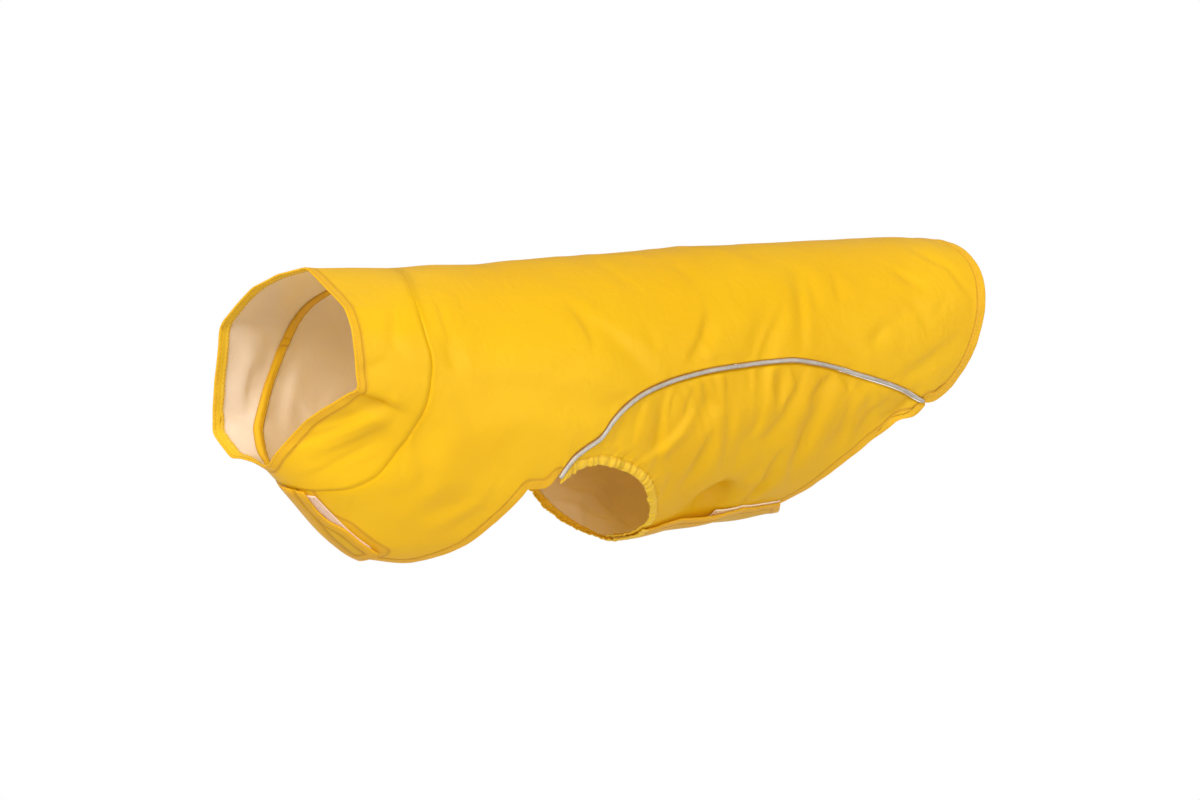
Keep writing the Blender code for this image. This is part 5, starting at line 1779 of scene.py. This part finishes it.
def make_leg_casing(side, name):
    last = BELLY_CELLS + (BELLY_LAP_CELLS if side == RIGHT else 0)
    cols = dense(-1, last, 14)
    across = np.linspace(0, 1, 9)[:, None, None]

    def places(of_side, cells):
        seam, leg, sewn = leg_lines(of_side)
        lead = (-cells).clip(0)[:, None]
        inner = at(leg, cells) + (np.array(CASING_START) - leg[0]) * lead
        outer = at(sewn, cells) + at(seam, 1 - lead[:, 0]) - seam[FINE]
        scallop = uneven(cells, 0.4, 61 + side)[None, :, None] * SCALLOP * (1 - across)
        return inner[None] * (1 - across) + outer[None] * across + scallop * (1.0, 0.0)

    own = cols <= BELLY_CELLS
    place = places(side, cols[own])
    if side == RIGHT:
        under = places(LEFT, over_left(cols[~own]))
        under[..., 1] = 2 - under[..., 1]
        place = np.concatenate([place, under], axis=1)
    station, share = place[..., 0], side * place[..., 1]
    numbers = np.arange(station.size).reshape(station.shape)
    cells = grid_cells(numbers if side == RIGHT else numbers[:, ::-1])
    col, row = cols[None, :], across[:, :, 0]
    lift = (leg_wave(np.maximum(col, 0) + 0 * row, 21 + side) * (1.0 - 0.5 * row ** 2)
            + uneven(col + 0 * row, 0.22, 71) * BAND_CRINKLE
            + BAND_PUFF * (1 - (2 * row - 1) ** 2) - BAND_SINK)
    if side == RIGHT:
        lift = lift + lapped(col, 0 * row, BELLY_CELLS - 2, 1)
    points = raised(cloth(station, share).reshape(-1, 3), cells, lift)
    uv = cloth_uv(station, share)
    thing = shell(name, points, cells, uv, (CASING,), thick=BAND_THICKNESS)
    sheet = SHEETS[name]
    outer = sheet["outer"].reshape(station.shape + (3,))[BAND_STITCH_ROW]
    ways = sheet["normals"].reshape(station.shape + (3,))[BAND_STITCH_ROW]
    return thing, [laid_on(outer, ways)]


casing_left, casing_lines_left = make_leg_casing(LEFT, "leg_casing_left")
casing_right, casing_lines_right = make_leg_casing(RIGHT, "leg_casing_right")
casing_stitches = stitched("casing_stitches", casing_lines_left + casing_lines_right, 9)

# %% [markdown]
# ## The loop tapes of the closures
# Strips of loop tape are sewn on the left panels, under the right ones' laps.  The
# pile is hundreds of tiny thread loops, so Geometry Nodes scatter one loop over
# the tape's face, each turned at random, and keep clear of its stitched margin.

# %% The tree for loop pile
LOOP_SPACING = 1.5
LOOP_SIZE = 0.5
LOOP_THREAD = 0.13
LOOP_MARGIN = 1.4


def make_pile_tree():
    tree, given, out = new_tree("loop_pile", {"Spacing": "Float", "Loop size": "Float",
                                              "Thread": "Float", "Margin": "Float",
                                              "Seed": "Int", "Finish": "Material"})
    face = node(tree, "GeometryNodeInputMaterialIndex")
    upper = node(tree, "FunctionNodeCompare", {2: face.outputs[0], 3: 0}, data_type="INT",
                 operation="EQUAL")
    edge = node(tree, "GeometryNodeInputNamedAttribute", {"Name": "edge"}, data_type="FLOAT")
    clear = node(tree, "FunctionNodeCompare", {0: edge.outputs[0], 1: given["Margin"]},
                 data_type="FLOAT", operation="GREATER_THAN")
    both = node(tree, "FunctionNodeBooleanMath", {0: upper.outputs[0], 1: clear.outputs[0]})
    dots = node(tree, "GeometryNodeDistributePointsOnFaces",
                {"Mesh": given["Geometry"], "Selection": both.outputs[0],
                 "Distance Min": given["Spacing"], "Density Max": 2.0e6, "Seed": given["Seed"]},
                distribute_method="POISSON")
    arc = node(tree, "GeometryNodeCurveArc", {"Resolution": 6, "Radius": given["Loop size"],
                                              "Start Angle": math.radians(-20),
                                              "Sweep Angle": math.radians(220)})
    yarn = node(tree, "GeometryNodeCurvePrimitiveCircle", {"Resolution": 4,
                                                           "Radius": given["Thread"]})
    loop = node(tree, "GeometryNodeCurveToMesh", {"Curve": arc.outputs[0],
                                                  "Profile Curve": yarn.outputs[0]})
    standing = node(tree, "GeometryNodeTransform", {"Geometry": loop.outputs[0],
                                                    "Rotation": (math.pi / 2, 0, 0)})
    spin = node(tree, "FunctionNodeRandomValue", {"Seed": given["Seed"]},
                data_type="FLOAT_VECTOR")
    spin.inputs[0].default_value = (-0.5, -0.5, 0)
    spin.inputs[1].default_value = (0.5, 0.5, 2 * math.pi)
    turned = node(tree, "FunctionNodeEulerToRotation", {0: spin.outputs[0]})
    way = node(tree, "FunctionNodeRotateRotation", {0: dots.outputs["Rotation"],
                                                    1: turned.outputs[0]},
               rotation_space="LOCAL")
    pile = node(tree, "GeometryNodeInstanceOnPoints",
                {"Points": dots.outputs["Points"], "Instance": standing.outputs[0],
                 "Rotation": way.outputs[0]})
    joined = node(tree, "GeometryNodeJoinGeometry")
    tree.links.new(given["Geometry"], joined.inputs[0])
    tree.links.new(pile.outputs[0], joined.inputs[0])
    finished(tree, out, given, joined.outputs[0])
    return tree


PILE_TREE = make_pile_tree()
print(PILE_TREE.name, "has", len(PILE_TREE.nodes), "nodes")

# %% The two tapes
TAPE_LIFT = 0.85
TAPE_STITCH = 0.8              # the stitches lie this far from a tape's edge
CHEST_TAPE_ROWS = dense(0.35, CLOSURE_CELLS - 0.7, 6)
CHEST_TAPE_COLS = RING_CELLS - dense(0.06, 1.3, 8)[::-1]
BELLY_TAPE_ROWS = dense(16.8, BELLY_ROWS - 2.5, 4)
BELLY_TAPE_COLS = BELLY_CELLS - dense(0.1, 3.06, 6)[::-1]


def make_loop_tape(name, places, rows, cols, finish, seed):
    """A strip of loop tape on the outside of a left panel."""
    place = places(LEFT, rows, cols)
    station, share = place[..., 0], -place[..., 1]
    numbers = np.arange(station.size).reshape(station.shape)
    cells = grid_cells(numbers[:, ::-1])
    lift = np.full(station.shape, TAPE_LIFT)
    points = raised(cloth(station, share).reshape(-1, 3), cells, lift)
    uv = cloth_uv(station, share)
    thing = shell(name, points, cells, uv, (finish, finish), thick=TAPE_THICKNESS)
    stitches = stitched(name + "_stitches", hem_lines(name, TAPE_STITCH), seed)
    values = {"Spacing": LOOP_SPACING * MM, "Loop size": LOOP_SIZE * MM,
              "Thread": LOOP_THREAD * MM, "Margin": LOOP_MARGIN * MM, "Seed": seed,
              "Finish": finish}
    return grown(thing, PILE_TREE, values), stitches


chest_tape, chest_tape_stitches = make_loop_tape(
    "chest_loops", back_places, CHEST_TAPE_ROWS, CHEST_TAPE_COLS, LOOPS, 51)
belly_tape, belly_tape_stitches = make_loop_tape(
    "belly_loops", belly_places, BELLY_TAPE_ROWS, BELLY_TAPE_COLS, BELLY_LOOPS, 52)

# %% [markdown]
# ## The piping
# The cord lies in the seam between back and belly.  It follows a path, so a tree
# sweeps a small circle along that path, and it stores how far along and how far
# round each point lies, for the twill of its cover.

# %% The cord
CORD_SIDES = 16
CORD_RADIUS = 1.5


def make_cord_tree():
    tree, given, out = new_tree("swept_cord", {"Radius": "Float", "Sides": "Int",
                                               "Finish": "Material"})
    line = node(tree, "GeometryNodeMeshToCurve", {"Mesh": given["Geometry"]})
    walked = node(tree, "GeometryNodeSplineParameter")
    marked = node(tree, "GeometryNodeStoreNamedAttribute",
                  {"Geometry": line.outputs[0], "Name": "along",
                   "Value": walked.outputs["Length"]}, data_type="FLOAT", domain="POINT")
    circle = node(tree, "GeometryNodeCurvePrimitiveCircle", {"Resolution": given["Sides"],
                                                             "Radius": given["Radius"]})
    turned = node(tree, "GeometryNodeStoreNamedAttribute",
                  {"Geometry": circle.outputs[0], "Name": "round",
                   "Value": walked.outputs["Factor"]}, data_type="FLOAT", domain="POINT")
    tube = node(tree, "GeometryNodeCurveToMesh", {"Curve": marked.outputs[0],
                                                  "Profile Curve": turned.outputs[0],
                                                  "Fill Caps": True})
    finished(tree, out, given, tube.outputs[0])
    return tree


CORD_TREE = make_cord_tree()


def make_cord(side, name):
    """The cord of one side, proud of the cloth's outer face."""
    places = piping_places()[:-round(CORD_END_CELLS * FINE):2]
    station, share = places[:, 0], side * places[:, 1]
    points = cloth(station, share)
    by_station = cloth(station + STEP, share) - points
    by_share = cloth(station, share + SHARE_STEP) - points
    normals = unit(np.cross(by_station, by_share))
    lines = [(points + normals * PIPING_PROUD, normals)]
    values = {"Radius": CORD_RADIUS * MM, "Sides": CORD_SIDES, "Finish": CORD}
    return grown(add_lines(name, lines), CORD_TREE, values)


cord_left = make_cord(LEFT, "cord_left")
cord_right = make_cord(RIGHT, "cord_right")

# %% [markdown]
# ## The pieces on the body
# Every piece rides on the coat's one body, and the solid that it stands for is hidden.

# %% What each piece is
PIECES = (
    (back_panel, "back_panel", "coated_nylon"),
    (collar, "collar", "coated_nylon"),
    (neck_binding, "neck_seam_tape", "seam_binding"),
    (belly_left, "belly_panel_left", "coated_nylon"),
    (belly_right, "belly_panel_right", "coated_nylon"),
    (casing_left, "leg_band_left", "elastic_casing"),
    (casing_right, "leg_band_right", "elastic_casing"),
    (chest_tape, "chest_loop_tape", "loop_tape"),
    (belly_tape, "belly_loop_tape", "loop_tape"),
    (cord_left, "piping_left", "reflective_piping"),
    (cord_right, "piping_right", "reflective_piping"),
)
STITCHES = (back_stitches, collar_stitches, binding_stitches, casing_stitches,
            belly_stitches[LEFT], belly_stitches[RIGHT], chest_tape_stitches,
            belly_tape_stitches)
for thing, solid, slot in PIECES:
    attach(thing, "root")
    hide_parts(solid)
for thing in STITCHES:
    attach(thing, "root")
print(len(PIECES), "pieces stand for solids, and", len(STITCHES), "hold stitches")
